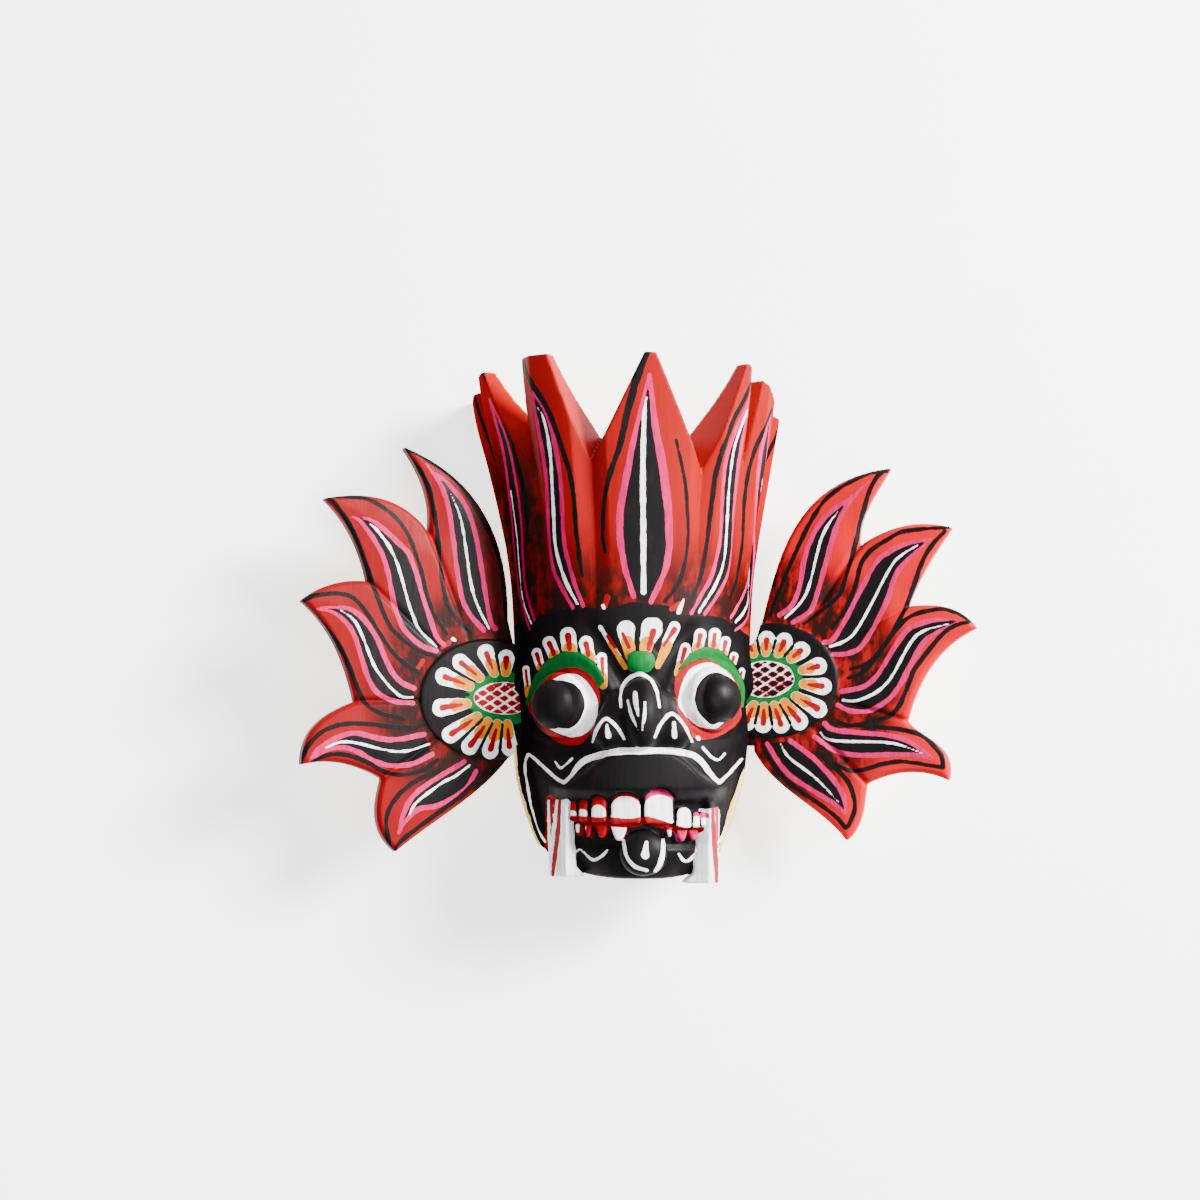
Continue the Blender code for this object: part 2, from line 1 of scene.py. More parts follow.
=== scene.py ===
"""Raksha mask: carved and painted wood, lying face up on a pale table.

The head and both wings are carved again at a fine grain over the plain solids, in
the same millimetres: X to the viewer's right, Y from the chin to the crown, Z out
of the face. Brush lines are laid on the carved surfaces one after another.
"""
import json
import math

import bpy
import numpy as np
from bpy.props import FloatProperty, FloatVectorProperty, PointerProperty
from mathutils import Matrix, Vector

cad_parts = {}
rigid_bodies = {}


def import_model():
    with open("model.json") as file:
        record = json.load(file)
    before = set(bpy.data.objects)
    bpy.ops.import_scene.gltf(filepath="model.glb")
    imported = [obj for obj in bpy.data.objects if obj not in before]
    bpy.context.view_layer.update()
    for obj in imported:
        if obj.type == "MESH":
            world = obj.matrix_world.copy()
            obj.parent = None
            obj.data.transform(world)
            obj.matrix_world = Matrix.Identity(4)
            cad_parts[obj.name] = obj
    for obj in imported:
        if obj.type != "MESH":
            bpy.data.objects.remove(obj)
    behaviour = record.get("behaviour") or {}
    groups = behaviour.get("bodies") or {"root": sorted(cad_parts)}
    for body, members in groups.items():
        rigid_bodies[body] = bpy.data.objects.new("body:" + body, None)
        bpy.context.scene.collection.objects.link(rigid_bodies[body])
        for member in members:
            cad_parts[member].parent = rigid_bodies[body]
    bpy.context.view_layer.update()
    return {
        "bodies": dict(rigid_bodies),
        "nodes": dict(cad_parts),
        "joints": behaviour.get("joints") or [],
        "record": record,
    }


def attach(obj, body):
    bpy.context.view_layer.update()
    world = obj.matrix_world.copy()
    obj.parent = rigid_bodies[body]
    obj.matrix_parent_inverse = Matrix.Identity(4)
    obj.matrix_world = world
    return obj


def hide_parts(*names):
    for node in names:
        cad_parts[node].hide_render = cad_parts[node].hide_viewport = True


bl_info = {
    "name": "Raksha Mask",
    "version": (1, 0, 0),
    "blender": (4, 5, 0),
    "location": "3D View > Sidebar > Mask",
    "description": "Carves and paints a raksha mask over its plain solids",
    "category": "Object",
}

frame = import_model()
MM = 0.001
# from the carver's millimetres to the row: the middle of the base is the origin
ROW_SHIFT = (-0.666, -74.784, 0.0)

# head block: (height up the face, size) stations
HALF_WIDTH = ((0.0, 16.8), (3.0, 20.6), (7.0, 23.6), (12.0, 26.0), (18.0, 28.3), (25.0, 30.4),
              (34.0, 32.4), (45.0, 33.4), (70.0, 34.0), (87.0, 35.0), (98.0, 36.5),
              (108.0, 38.2), (121.0, 40.5), (135.0, 42.9), (152.0, 44.8))
FRONT_DEPTH = ((0.0, 33.0), (3.0, 36.0), (8.0, 38.5), (15.0, 40.0), (24.0, 41.5), (34.0, 42.0),
               (45.0, 41.5), (60.0, 40.5), (78.0, 40.8), (95.0, 42.0), (108.0, 43.5),
               (121.0, 45.0), (135.0, 46.5), (152.0, 48.0))
LEFT_SPREAD = ((98.0, 0.0), (110.0, 0.5), (122.0, 1.3), (136.0, 2.6), (152.0, 3.2))
SIDE_DEPTH = 9.5
RIM_FLARE = ((0.0, 0.6), (12.0, 1.2), (30.0, 1.5), (45.0, 0.6), (60.0, 0.0), (152.0, 0.0))
RIM_ANGLE = 20.0
WALL = ((0.0, 10.0), (60.0, 11.0), (100.0, 13.0), (118.0, 14.7), (126.0, 13.6), (138.0, 7.6),
        (150.0, 3.6), (165.0, 3.6))
CHIN_WALL = 13.0
CHIN_EDGE = ((-110.0, 11.5), (-90.0, 10.0), (-66.0, 6.0), (-46.0, 3.4), (-25.0, 2.2), (0.0, 2.0),
             (25.0, 2.2), (46.0, 3.4), (66.0, 6.0), (90.0, 10.0), (110.0, 11.5))
CROWN_TOP = ((-110.0, 141.0), (-86.0, 142.0), (-76.0, 145.6), (-64.0, 147.0), (-50.0, 148.6),
             (2.6, 148.4), (46.0, 147.0), (60.0, 142.5), (72.0, 136.5), (80.0, 135.0),
             (110.0, 133.5))
# angle of the valley, its outer and inner height, angle of each side at the top
NOTCHES = ((-82.5, 127.0, 133.0, -87.0, -80.0),
           (-51.5, 116.0, 126.0, -72.0, -50.0),
           (-21.7, 117.0, 126.2, -36.3, 1.4),
           (27.5, 114.2, 125.0, 3.8, 44.6),
           (52.5, 116.0, 126.0, 48.5, 57.5),
           (74.0, 117.0, 126.0, 64.5, 70.0))
NOTCH_TOP = 150.0
GROOVE_HALF_ANGLE = 7.0
GROOVE_DEPTH = ((0.0, 0.0), (76.0, 0.0), (84.0, 0.7), (100.0, 1.7), (116.0, 2.6), (152.0, 2.6))

# face
EYE_X = (-22.4, 20.6)
EYE_Y = (50.6, 52.3)
EYE_RADIUS = 9.2
EYE_RISE = 4.2
PUPIL_RADIUS = 6.6
PUPIL_LIFT = 3.2
PUPIL_RISE = 4.6
BROW_RADIUS = 13.5
LIP_TOP = 37.8
LIP_DROP = 8.8
LIP_BOTTOM = 24.5
NOSE_Y = 47.6
NOSTRIL_X = 9.0
NOSTRIL_Y = 42.8
KNOB_Y = 62.4
# teeth: place across, place up, width, height, paint of the gum end, how far it reaches
UPPER_TEETH = ((-18.2, 21.5, 2.2, 4.2, "scarlet", 2.6), (-15.7, 20.9, 2.7, 5.9, "scarlet", 2.4),
               (-11.6, 21.3, 4.2, 7.0, "scarlet", 2.3), (-4.5, 21.5, 8.1, 8.4, "scarlet", 0.8),
               (4.6, 22.1, 8.4, 9.7, "pink", 1.7), (11.5, 19.1, 4.7, 5.8, "pink", 0.3),
               (15.1, 18.5, 2.5, 4.4, "pink", 1.3), (17.1, 18.8, 2.0, 4.0, "pink", 1.8))
LOWER_TEETH = ((-16.9, 15.8, 1.9, 3.4, "scarlet", 0.8), (-14.2, 15.5, 2.6, 3.9, "scarlet", 2.2),
               (-10.7, 15.5, 4.1, 4.0, "scarlet", 3.4), (-6.1, 14.8, 5.1, 4.4, "scarlet", 0.1),
               (7.5, 15.0, 2.0, 2.9, "pink", 0.1), (11.1, 14.1, 3.8, 3.2, "pink", 1.9),
               (14.5, 14.2, 3.6, 2.9, "pink", 1.6))
TONGUE_Y = 9.2
# the lip is cut back round the upper teeth, in slabs that start this far out from them
TOOTH_RECESS = 4.4
# low carving round the features: its depth or height, and how wide it is
EYE_MOAT = (1.2, 2.4)
BROW_ROLL = (1.5, 3.6)
LID_EDGE = (0.7, 0.9)
FURROW = (1.5, 3.0)
LIP_RISE = 3.2
LIP_HALF = 25.5
MOUTH_DEPTH = 1.2
MOUTH_HALF = 21.0
# the box that the head is carved from
HEAD_BOX = ((-50.0, -3.0, -2.0), (46.0, 151.0, 52.0))
# tusks: side, how far out the outer edge, the ridge and the inner edge stand at the top and
# at the foot, and the foot's height
TUSKS = ((-1.0, (25.3, 20.7, 19.0), (24.6, 20.7, 17.4), 2.6),
         (1.0, (22.9, 19.6, 16.8), (22.9, 19.4, 15.1), 0.8))
TUSK_TOP = 24.0
TUSK_RIDGE = ((0.0, 4.2), (5.0, 5.4), (12.0, 5.4), (17.0, 4.2), (24.0, 2.2))
TUSK_LEVEL = 12.0
TUSK_TOE = 2.2
TUSK_PAINT_TOP = (25.0, 21.8)

# wings, in their own plane: distance out from the root, height
WING_SWEEP = 18.0
WING_THICKNESS = 4.5
WING_ROOT_X = 33.5
WING_ROOT_Z = 12.0
TONGUE_LENGTH = 6.0
TONGUE_LOW = 40.0
TONGUE_HIGH = 69.0
ROOT_EDGE = 1.5
SLOT_MOUTH = 5.0
FIT_GAP = 0.35
DISC_RISE = 0.9
DISC_DOME = 0.35
# the front falls a little towards the edge and is rounded over at it
FRONT_FALL = (0.45, 7.0)
EDGE_FALL = (0.8, 1.5)
# grooves from the valleys towards the disc: depth, half width, share of the way they run
VALLEY_GROOVE = (0.75, 0.8, 0.74)
# flame tips, valleys, the two ends at the root, and how each side bows out
LEFT_WING = (((35.0, 124.4), (58.3, 108.5), (64.6, 79.5), (64.2, 33.7), (36.5, 9.6)),
             ((27.2, 100.2), (45.3, 85.6), (48.8, 51.6), (40.7, 30.1)),
             ((3.2, 76.0), (1.6, 38.0)),
             ((13.0, 15.0), (-3.0, -4.0), (8.0, 5.5), (-3.2, -2.6), (2.5, 2.8), (-4.5, -3.0),
              (4.0, 7.0), (-3.4, -3.0), (3.5, 6.0), (0.0, 4.0)))
RIGHT_WING = (((41.8, 119.3), (59.3, 101.6), (66.0, 72.8), (57.6, 29.6), (28.2, 12.7)),
              ((32.7, 97.1), (46.6, 79.4), (46.0, 46.6), (34.2, 28.9)),
              ((3.0, 71.4), (1.6, 38.3)),
              ((9.3, 21.0), (-1.0, -4.0), (4.0, 4.5), (-0.8, -1.6), (3.0, 5.0), (-6.0, -4.5),
               (0.5, 8.0), (-4.0, -3.5), (1.0, 3.5), (-2.0, 4.0)))
LEFT_DISC = (9.0, 52.9, 21.5, 17.4)
RIGHT_DISC = (6.4, 58.6, 20.2, 16.8)

# camera: degrees to the left and towards the chin, distance and aim in the carver's frame;
# the table glows a little, as a lit studio sweep does
VIEW_YAW = 4.0
VIEW_PITCH = 5.0
VIEW_DISTANCE = 800.0
VIEW_AIM = (-10.55, 80.8, 25.0)
TABLE_GLOW = 1.8


# the paint, drawn flat as seen from the front: millimetres from the middle line and the chin

BLACK_EDGE = ((-120.0, 74.0), (-80.0, 74.5), (-55.0, 76.0), (-33.0, 77.5), (-14.0, 77.4),
              (-5.0, 78.8), (5.0, 78.2), (12.9, 78.0), (19.0, 75.8), (40.0, 75.6), (52.0, 74.0),
              (70.0, 71.5), (120.0, 71.0))
# eyes: pupil, white, red rim and green crescent as closed outlines
LEFT_EYE = (((-26.0, 50.9), (-25.1, 54.3), (-22.5, 56.3), (-19.2, 56.6), (-15.8, 55.3),
             (-13.7, 52.6), (-13.3, 49.2), (-14.2, 45.9), (-16.5, 43.5), (-19.3, 43.1),
             (-22.7, 44.2), (-25.0, 46.5)),
            ((-26.5, 49.8), (-25.1, 53.8), (-22.5, 56.8), (-18.7, 58.5), (-14.7, 58.2),
             (-11.7, 55.4), (-9.6, 51.5), (-9.3, 47.5), (-10.8, 43.6), (-13.6, 41.1),
             (-17.0, 40.5), (-20.4, 41.4), (-23.7, 43.3), (-25.7, 46.1)),
            ((-29.2, 49.2), (-27.7, 52.6), (-25.1, 56.0), (-22.0, 58.8), (-18.1, 60.3),
             (-14.7, 60.0), (-11.8, 58.2), (-9.7, 55.4), (-8.8, 51.8), (-9.2, 47.5), (-10.6, 43.1),
             (-12.5, 40.4), (-13.9, 38.8), (-17.0, 38.1), (-20.4, 39.0), (-23.8, 41.4),
             (-26.6, 44.9), (-28.8, 47.8)),
            ((-29.5, 49.5), (-29.3, 52.6), (-28.2, 56.1), (-26.0, 59.9), (-23.2, 62.7),
             (-19.8, 64.6), (-17.0, 65.0), (-13.6, 64.2), (-10.8, 62.1), (-8.6, 59.3),
             (-7.7, 56.8), (-8.5, 55.4), (-12.5, 50.9), (-20.4, 46.4)))
RIGHT_EYE = (((18.1, 50.9), (18.7, 54.3), (20.6, 57.4), (23.4, 58.8), (26.3, 58.3), (28.8, 56.0),
              (30.0, 52.0), (29.6, 49.2), (27.4, 46.4), (23.4, 44.1), (20.6, 45.9), (19.0, 48.1)),
             ((13.3, 50.9), (14.5, 56.0), (16.8, 59.9), (21.2, 61.9), (24.6, 61.0), (28.5, 58.2),
              (30.7, 53.2), (30.2, 49.2), (27.9, 45.9), (24.6, 43.1), (22.3, 42.8), (19.0, 43.6),
              (15.6, 46.4), (13.6, 49.0)),
             ((12.4, 54.3), (12.8, 57.7), (14.7, 60.2), (17.6, 62.1), (20.6, 62.8), (23.2, 62.3),
              (26.0, 60.3), (29.2, 57.7), (31.0, 53.4), (31.4, 48.7), (30.9, 45.3), (27.1, 41.8),
              (22.3, 40.0), (18.1, 40.2), (16.1, 43.1), (13.6, 46.4), (12.9, 50.4)),
             ((12.8, 57.1), (15.0, 62.1), (17.8, 65.0), (21.2, 66.1), (24.6, 65.6), (27.9, 63.0),
              (30.5, 59.3), (32.2, 55.4), (32.2, 50.9), (31.1, 48.6), (24.6, 48.7), (16.1, 50.9)))
# lashes: foot, tip and width
LEFT_LASHES = (((-29.2, 53.2), (-30.0, 60.9), 2.0),
               ((-25.3, 59.6), (-27.3, 65.7), 2.8), ((-21.5, 63.0), (-23.9, 69.1), 3.6),
               ((-17.4, 64.7), (-18.1, 71.8), 4.4), ((-11.8, 62.6), (-13.1, 69.1), 3.7),
               ((-7.9, 56.4), (-8.3, 64.6), 2.8))
RIGHT_LASHES = (((13.8, 59.8), (15.8, 67.3), 2.8),
                ((18.8, 65.3), (20.1, 71.3), 3.3), ((23.3, 65.5), (24.1, 71.6), 3.3),
                ((26.1, 63.8), (27.2, 69.1), 2.9), ((28.6, 60.2), (29.5, 64.7), 2.4),
                ((31.0, 55.5), (31.5, 60.2), 2.0))
# green fan over the nose, and the petals that stand on it
BROW_FAN = ((-1.1, 62.7), (-0.6, 64.4), (2.1, 65.1), (5.4, 64.7), (6.7, 62.7), (6.5, 60.6),
            (4.9, 59.1), (1.5, 58.9), (-0.7, 59.9))
FAN_PETALS = ((("white", ((-8.7, 71.8, 1.3), (-3.5, 63.6, 1.6))),
               ("orange", ((-5.8, 67.1, 1.5), (-1.7, 60.3, 1.4))),
               ("scarlet", ((-6.8, 69.3, 0.9), (-4.5, 66.0, 0.9)))),
              (("white", ((-1.4, 71.1, 5.3), (-1.0, 67.6, 3.9))),
               ("orange", ((-1.0, 67.6, 3.7), (-0.0, 63.8, 3.2))),
               ("scarlet", ((-2.3, 69.9, 1.2), (-0.6, 66.1, 1.4)))),
              (("white", ((6.0, 71.6, 6.4), (4.8, 68.5, 4.6))),
               ("orange", ((4.6, 67.3, 3.9), (3.8, 64.1, 3.2))),
               ("scarlet", ((6.3, 70.6, 1.8), (5.0, 65.5, 1.2)))),
              (("white", ((12.4, 71.9, 3.4), (10.4, 67.6, 3.2))),
               ("orange", ((10.3, 66.8, 2.9), (7.7, 60.7, 1.7))),
               ("scarlet", ((12.4, 71.2, 1.5), (9.3, 66.5, 0.8)))))
# brush lines of the face: layer, then points with the brush's width
FACE_LINES = (
    ("light", ((-2.8, 49.1, 0.9), (-2.9, 53.2, 1.1), (-1.3, 56.5, 1.2), (1.1, 58.2, 1.3),
               (3.1, 58.4, 1.3), (5.6, 56.8, 1.2), (7.3, 53.7, 1.1), (8.1, 49.1, 0.8))),
    ("light", ((1.1, 53.2, 1.4), (1.4, 50.4, 1.7), (2.0, 46.6, 0.7))),
    ("light", ((-0.9, 51.0, 0.9), (-0.1, 47.5, 1.1), (2.0, 42.4, 0.5))),
    ("light", ((4.0, 50.6, 1.0), (3.9, 47.2, 1.1), (3.2, 42.4, 0.5))),
    ("light", ((-10.9, 39.0, 0.9), (-9.7, 42.9, 1.1), (-7.2, 45.8, 1.2), (-4.1, 43.5, 1.2),
               (-1.9, 40.1, 1))),
    ("light", ((-6.9, 44.0, 1), (-6.4, 40.9, 1.9))),
    ("light", ((6.8, 40.5, 0.9), (8.8, 44.6, 1.2), (11.7, 47.2, 1.3), (15.0, 44.1, 1.2),
               (17.4, 39.2, 0.9))),
    ("light", ((12.2, 44.6, 1.4), (12.4, 40.7, 1.8))),
    ("light", ((19.0, 40.4, 1.2), (19.2, 40.1, 1.2))),
    ("light", ((-21.5, 33.5, 0.8), (-20.1, 31.8, 0.9), (-18.8, 32.5, 0.8), (-16.6, 34.6, 0.8))),
    ("light", ((20.4, 37.6, 0.9), (22.9, 34.9, 1), (24.9, 34.2, 1), (26.7, 35.9, 0.8))),
    ("light", ((-24.4, 10.9, 0.9), (-26.8, 15.0, 0.9), (-28.3, 20.6, 0.9), (-29.3, 26.2, 0.9),
               (-30.1, 31.8, 1), (-29.6, 34.9, 1), (-28.2, 35.1, 1), (-20.4, 28.3, 1.2),
               (-17.8, 28.7, 1.3), (-14.7, 32.7, 1.8), (-11.9, 34.5, 2.1), (-6.3, 36.0, 2),
               (-0.7, 36.6, 2.1), (10.5, 36.6, 2), (16.1, 35.9, 2), (19.4, 34.2, 1.9),
               (22.3, 30.6, 1.6), (24.5, 28.2, 1.4), (25.9, 28.3, 1.3), (31.6, 34.4, 1))),
    ("light", ((27.3, 16.0, 0.9), (26.3, 13.2, 1), (24.8, 10.6, 0.9))),
    ("light", ((-2.2, 11.2, 0.9), (-1.3, 6.8, 1.2), (1.0, 3.9, 1.3), (4.5, 2.7, 1.2))),
    ("light", ((9.2, 11.4, 1.1), (9.0, 7.7, 1.4), (8.1, 4.2, 1.5), (6.9, 2.5, 1))),
    ("light", ((4.4, 10.7, 1.3), (4.1, 7.0, 2.5))),
    ("light", ((-15.6, 7.9, 0.8), (-14.2, 8.5, 0.9), (-11.1, 5.8, 1.1), (-8.6, 6.6, 1),
               (-6.5, 8.6, 0.8))),
    ("light", ((13.6, 7.4, 0.9), (15.1, 5.4, 1.1), (16.7, 5.8, 1.1), (18.5, 7.5, 0.9))),
    ("scarlet", ((-16.9, 17.5, 1.6), (-11.9, 16.9, 2.1), (-6.3, 16.6, 2.5), (-0.7, 16.1, 2.5),
                 (3.8, 16.9, 2.3), (7.7, 16.1, 2.2), (12.2, 14.7, 2), (16.7, 13.5, 1.9),
                 (20.1, 14.4, 1.4))),
    ("scarlet", ((-12.0, 15.8, 1.9), (-11.9, 12.8, 1.2))),
    ("scarlet", ((-8.9, 15.5, 2.6), (-7.6, 12.7, 1.4))),
    ("scarlet", ((-20.2, 22.6, 1), (-20.9, 12.2, 1.3), (-22.4, 1.4, 1.4))),
    ("scarlet", ((-23.0, 22.9, 2.4), (-23.4, 15.0, 1.9), (-23.7, 9.4, 1.2))),
    ("scarlet", ((-21.6, 23.0, 0.6), (-22.3, 16.0, 0.5))),
    ("scarlet", ((11.6, 77.0, 1.5), (14.2, 78.3, 1.9))),
    ("scarlet", ((-7.4, 77.8, 1.5), (-6.8, 80.2, 1.9))),
    ("ink", ((-6.2, 23.6, 0.9), (-6.0, 18.6, 1.0))),
    ("ink", ((3.0, 24.2, 0.9), (3.2, 18.2, 1.1))),
    ("ink", ((12.2, 22.4, 1.0), (12.6, 17.2, 1.1))),
    ("ink", ((-11.8, 22.0, 0.8), (-11.7, 18.6, 0.8))),
    ("ink", ((-15.4, 21.6, 0.5), (-15.3, 18.8, 0.5))),
    ("ink", ((17.3, 19.0, 0.5), (17.4, 16.2, 0.5))),
    ("light", ((15.0, 79.8, 0.6), (14.2, 77.7, 1.2), (13.5, 76.0, 1.4))),
    ("light", ((-8.0, 78.0, 1.2), (-7.7, 77.2, 1.2))),
    ("scarlet", ((23.2, 19.9, 1.2), (23.7, 9.4, 1.5), (24.6, -0.3, 1.6))),
    ("pink", ((24.5, 20.1, 1.5), (24.7, 9.4, 0.9))),
)

# crown lines on the skin: (degrees round the crown, height, width)
CROWN_LINES = (
    ("ink", ((0.9, 148.2, 1.9), (-1.9, 142.0, 2.0), (-5.2, 133.5, 1.8), (-9.0, 122.5, 1.5),
             (-13.1, 114.7, 1.4), (-16.4, 107.0, 1.3), (-17.7, 98.1, 1.2), (-16.7, 92.9, 1.0))),
    ("ink", ((13.3, 124.0, 0.8), (15.8, 118.1, 0.9), (18.5, 110.9, 0.9), (20.8, 101.0, 1.0),
             (21.2, 96.3, 1.0), (20.3, 90.0, 1.0), (17.3, 84.1, 1.1), (11.0, 79.3, 1.2))),
    ("ink", ((-52.5, 149.0, 2.8), (-49.0, 146.0, 2.4), (-45.4, 142.2, 1.7), (-38.2, 134.0, 1.5),
             (-33.5, 123.6, 1.4), (-29.9, 112.0, 1.3), (-29.6, 97.3, 1.2), (-28.0, 86.3, 1.0))),
    ("ink", ((-71.5, 146.6, 1.9), (-66.9, 141.9, 1.8), (-62.4, 135.5, 1.6), (-58.9, 123.0, 1.4),
             (-57.0, 110.1, 1.2), (-58.9, 97.4, 1.0))),
    ("ink", ((-88.0, 140.0, 1.3), (-85.0, 126.0, 1.2), (-84.0, 112.0, 1.1), (-84.0, 98.0, 1.0))),
    ("ink", ((49.0, 145.0, 1.2), (43.1, 136.9, 1.4), (38.2, 130.2, 1.3), (33.6, 118.5, 1.2),
             (32.5, 109.3, 1.1), (31.6, 94.5, 1.1), (29.1, 85.5, 1.1), (23.4, 79.0, 1.1))),
    ("ink", ((64.5, 136.0, 0.9), (58.9, 128.5, 1.0), (55.8, 119.0, 0.9), (55.5, 108.0, 0.9),
             (56.8, 96.0, 1.0), (54.7, 86.0, 1.1), (49.5, 81.4, 1.1))),
    ("ink", ((83.0, 136.0, 1.4), (81.0, 130.0, 1.3), (76.0, 122.0, 1.2), (71.5, 114.0, 1.0))),
)
# crown hearts: the two pink lines that meet at the tip, and the white line between them
CROWN_FLAMES = (
    (((2.2, 142.0, 0.8), (-1.6, 130.3, 1.3), (-4.5, 120.9, 1.7), (-6.9, 112.6, 2.0), (-9.6, 103.3, 2.1),
      (-9.4, 95.4, 2.0), (-7.8, 88.7, 1.7), (-3.8, 80.5, 1.5)),
     ((2.4, 142.0, 0.8), (3.7, 133.0, 1.6), (5.4, 125.2, 2.0), (7.5, 119.0, 2.2), (9.4, 111.7, 2.3),
      (11.4, 103.4, 2.3), (12.3, 95.6, 2.1), (11.2, 88.8, 1.8), (8.2, 84.0, 1.6), (4.3, 79.0, 1.4)),
     ((1.2, 135.5, 0.7), (0.4, 129.3, 1.3), (0.1, 113.7, 1.6), (0.6, 98.1, 1.7), (0.8, 81.6, 1.6))),
    (((-44.0, 138.3, 0.8), (-43.2, 130.4, 1.3), (-42.1, 114.6, 1.4), (-44.4, 98.9, 1.4),
      (-44.0, 90.0, 1.4), (-40.3, 84.5, 1.4), (-33.4, 77.7, 1.2)),
     ((-43.6, 138.3, 0.8), (-39.8, 134.0, 1.1), (-36.9, 128.0, 1.4), (-35.2, 114.3, 1.4),
      (-36.2, 98.6, 1.4), (-35.3, 91.7, 1.4), (-32.0, 84.3, 1.4), (-28.0, 78.1, 1.2)),
     ((-42.3, 134.0, 0.7), (-39.8, 130.2, 1.0), (-38.8, 120.0, 1.2), (-40.4, 104.0, 1.2),
      (-41.2, 95.0, 1.2), (-37.5, 86.0, 1.2), (-30.9, 78.7, 1.0))),
    (((-68.3, 138.2, 0.9), (-66.0, 128.0, 1.4), (-66.5, 118.0, 1.5), (-70.0, 105.0, 1.5),
      (-74.5, 94.0, 1.4), (-73.5, 84.0, 1.3), (-63.3, 72.5, 1.0)),
     ((-68.0, 138.2, 0.9), (-61.5, 127.0, 1.1), (-60.7, 112.5, 1.2), (-62.1, 102.4, 1.2),
      (-65.5, 91.9, 1.2), (-65.2, 83.8, 1.2), (-58.7, 75.0, 1.1)),
     ((-66.0, 112.0, 0.8), (-68.0, 100.0, 0.9), (-70.5, 90.0, 0.9), (-69.0, 81.0, 0.9),
      (-61.4, 74.1, 0.9))),
    (((48.0, 139.5, 0.8), (42.2, 131.0, 1.3), (38.5, 124.4, 1.4), (36.8, 117.9, 1.4), (37.1, 109.5, 1.3),
      (38.6, 97.0, 1.3), (35.5, 87.3, 1.3), (30.5, 81.8, 1.3), (24.5, 76.1, 1.2)),
     ((48.2, 139.5, 0.8), (46.0, 130.5, 1.6), (44.5, 122.6, 1.4), (44.5, 112.0, 1.2), (45.8, 103.0, 1.2),
      (47.8, 95.2, 1.2), (46.7, 88.8, 1.2), (40.9, 82.7, 1.2), (31.9, 76.1, 1.1)),
     ((45.8, 134.0, 1.1), (41.6, 126.0, 1.0), (40.2, 119.2, 1.0), (40.6, 110.0, 1.0), (42.4, 97.6, 1.0),
      (42.2, 90.7, 1.0), (38.2, 84.7, 1.1), (28.6, 76.5, 1.2))),
    (((63.5, 134.0, 1.2), (60.5, 125.0, 2.0), (61.0, 116.0, 2.2), (64.0, 107.0, 1.6), (67.0, 99.0, 1.4),
      (68.5, 92.0, 1.3), (66.0, 86.0, 1.3), (58.4, 80.5, 1.3), (50.2, 75.6, 1.2)),
     ((63.8, 134.0, 0.9), (67.0, 122.0, 1.0), (72.0, 110.0, 1.1), (77.0, 98.0, 1.2), (79.0, 90.0, 1.2),
      (76.5, 82.0, 1.2), (68.0, 75.8, 1.2), (54.2, 72.2, 1.1)),
     ((66.5, 116.0, 0.8), (70.0, 105.0, 0.9), (73.0, 96.0, 1.0), (74.0, 89.0, 1.1), (71.5, 82.5, 1.2),
      (64.0, 78.0, 1.2), (54.6, 74.6, 1.1))),
)

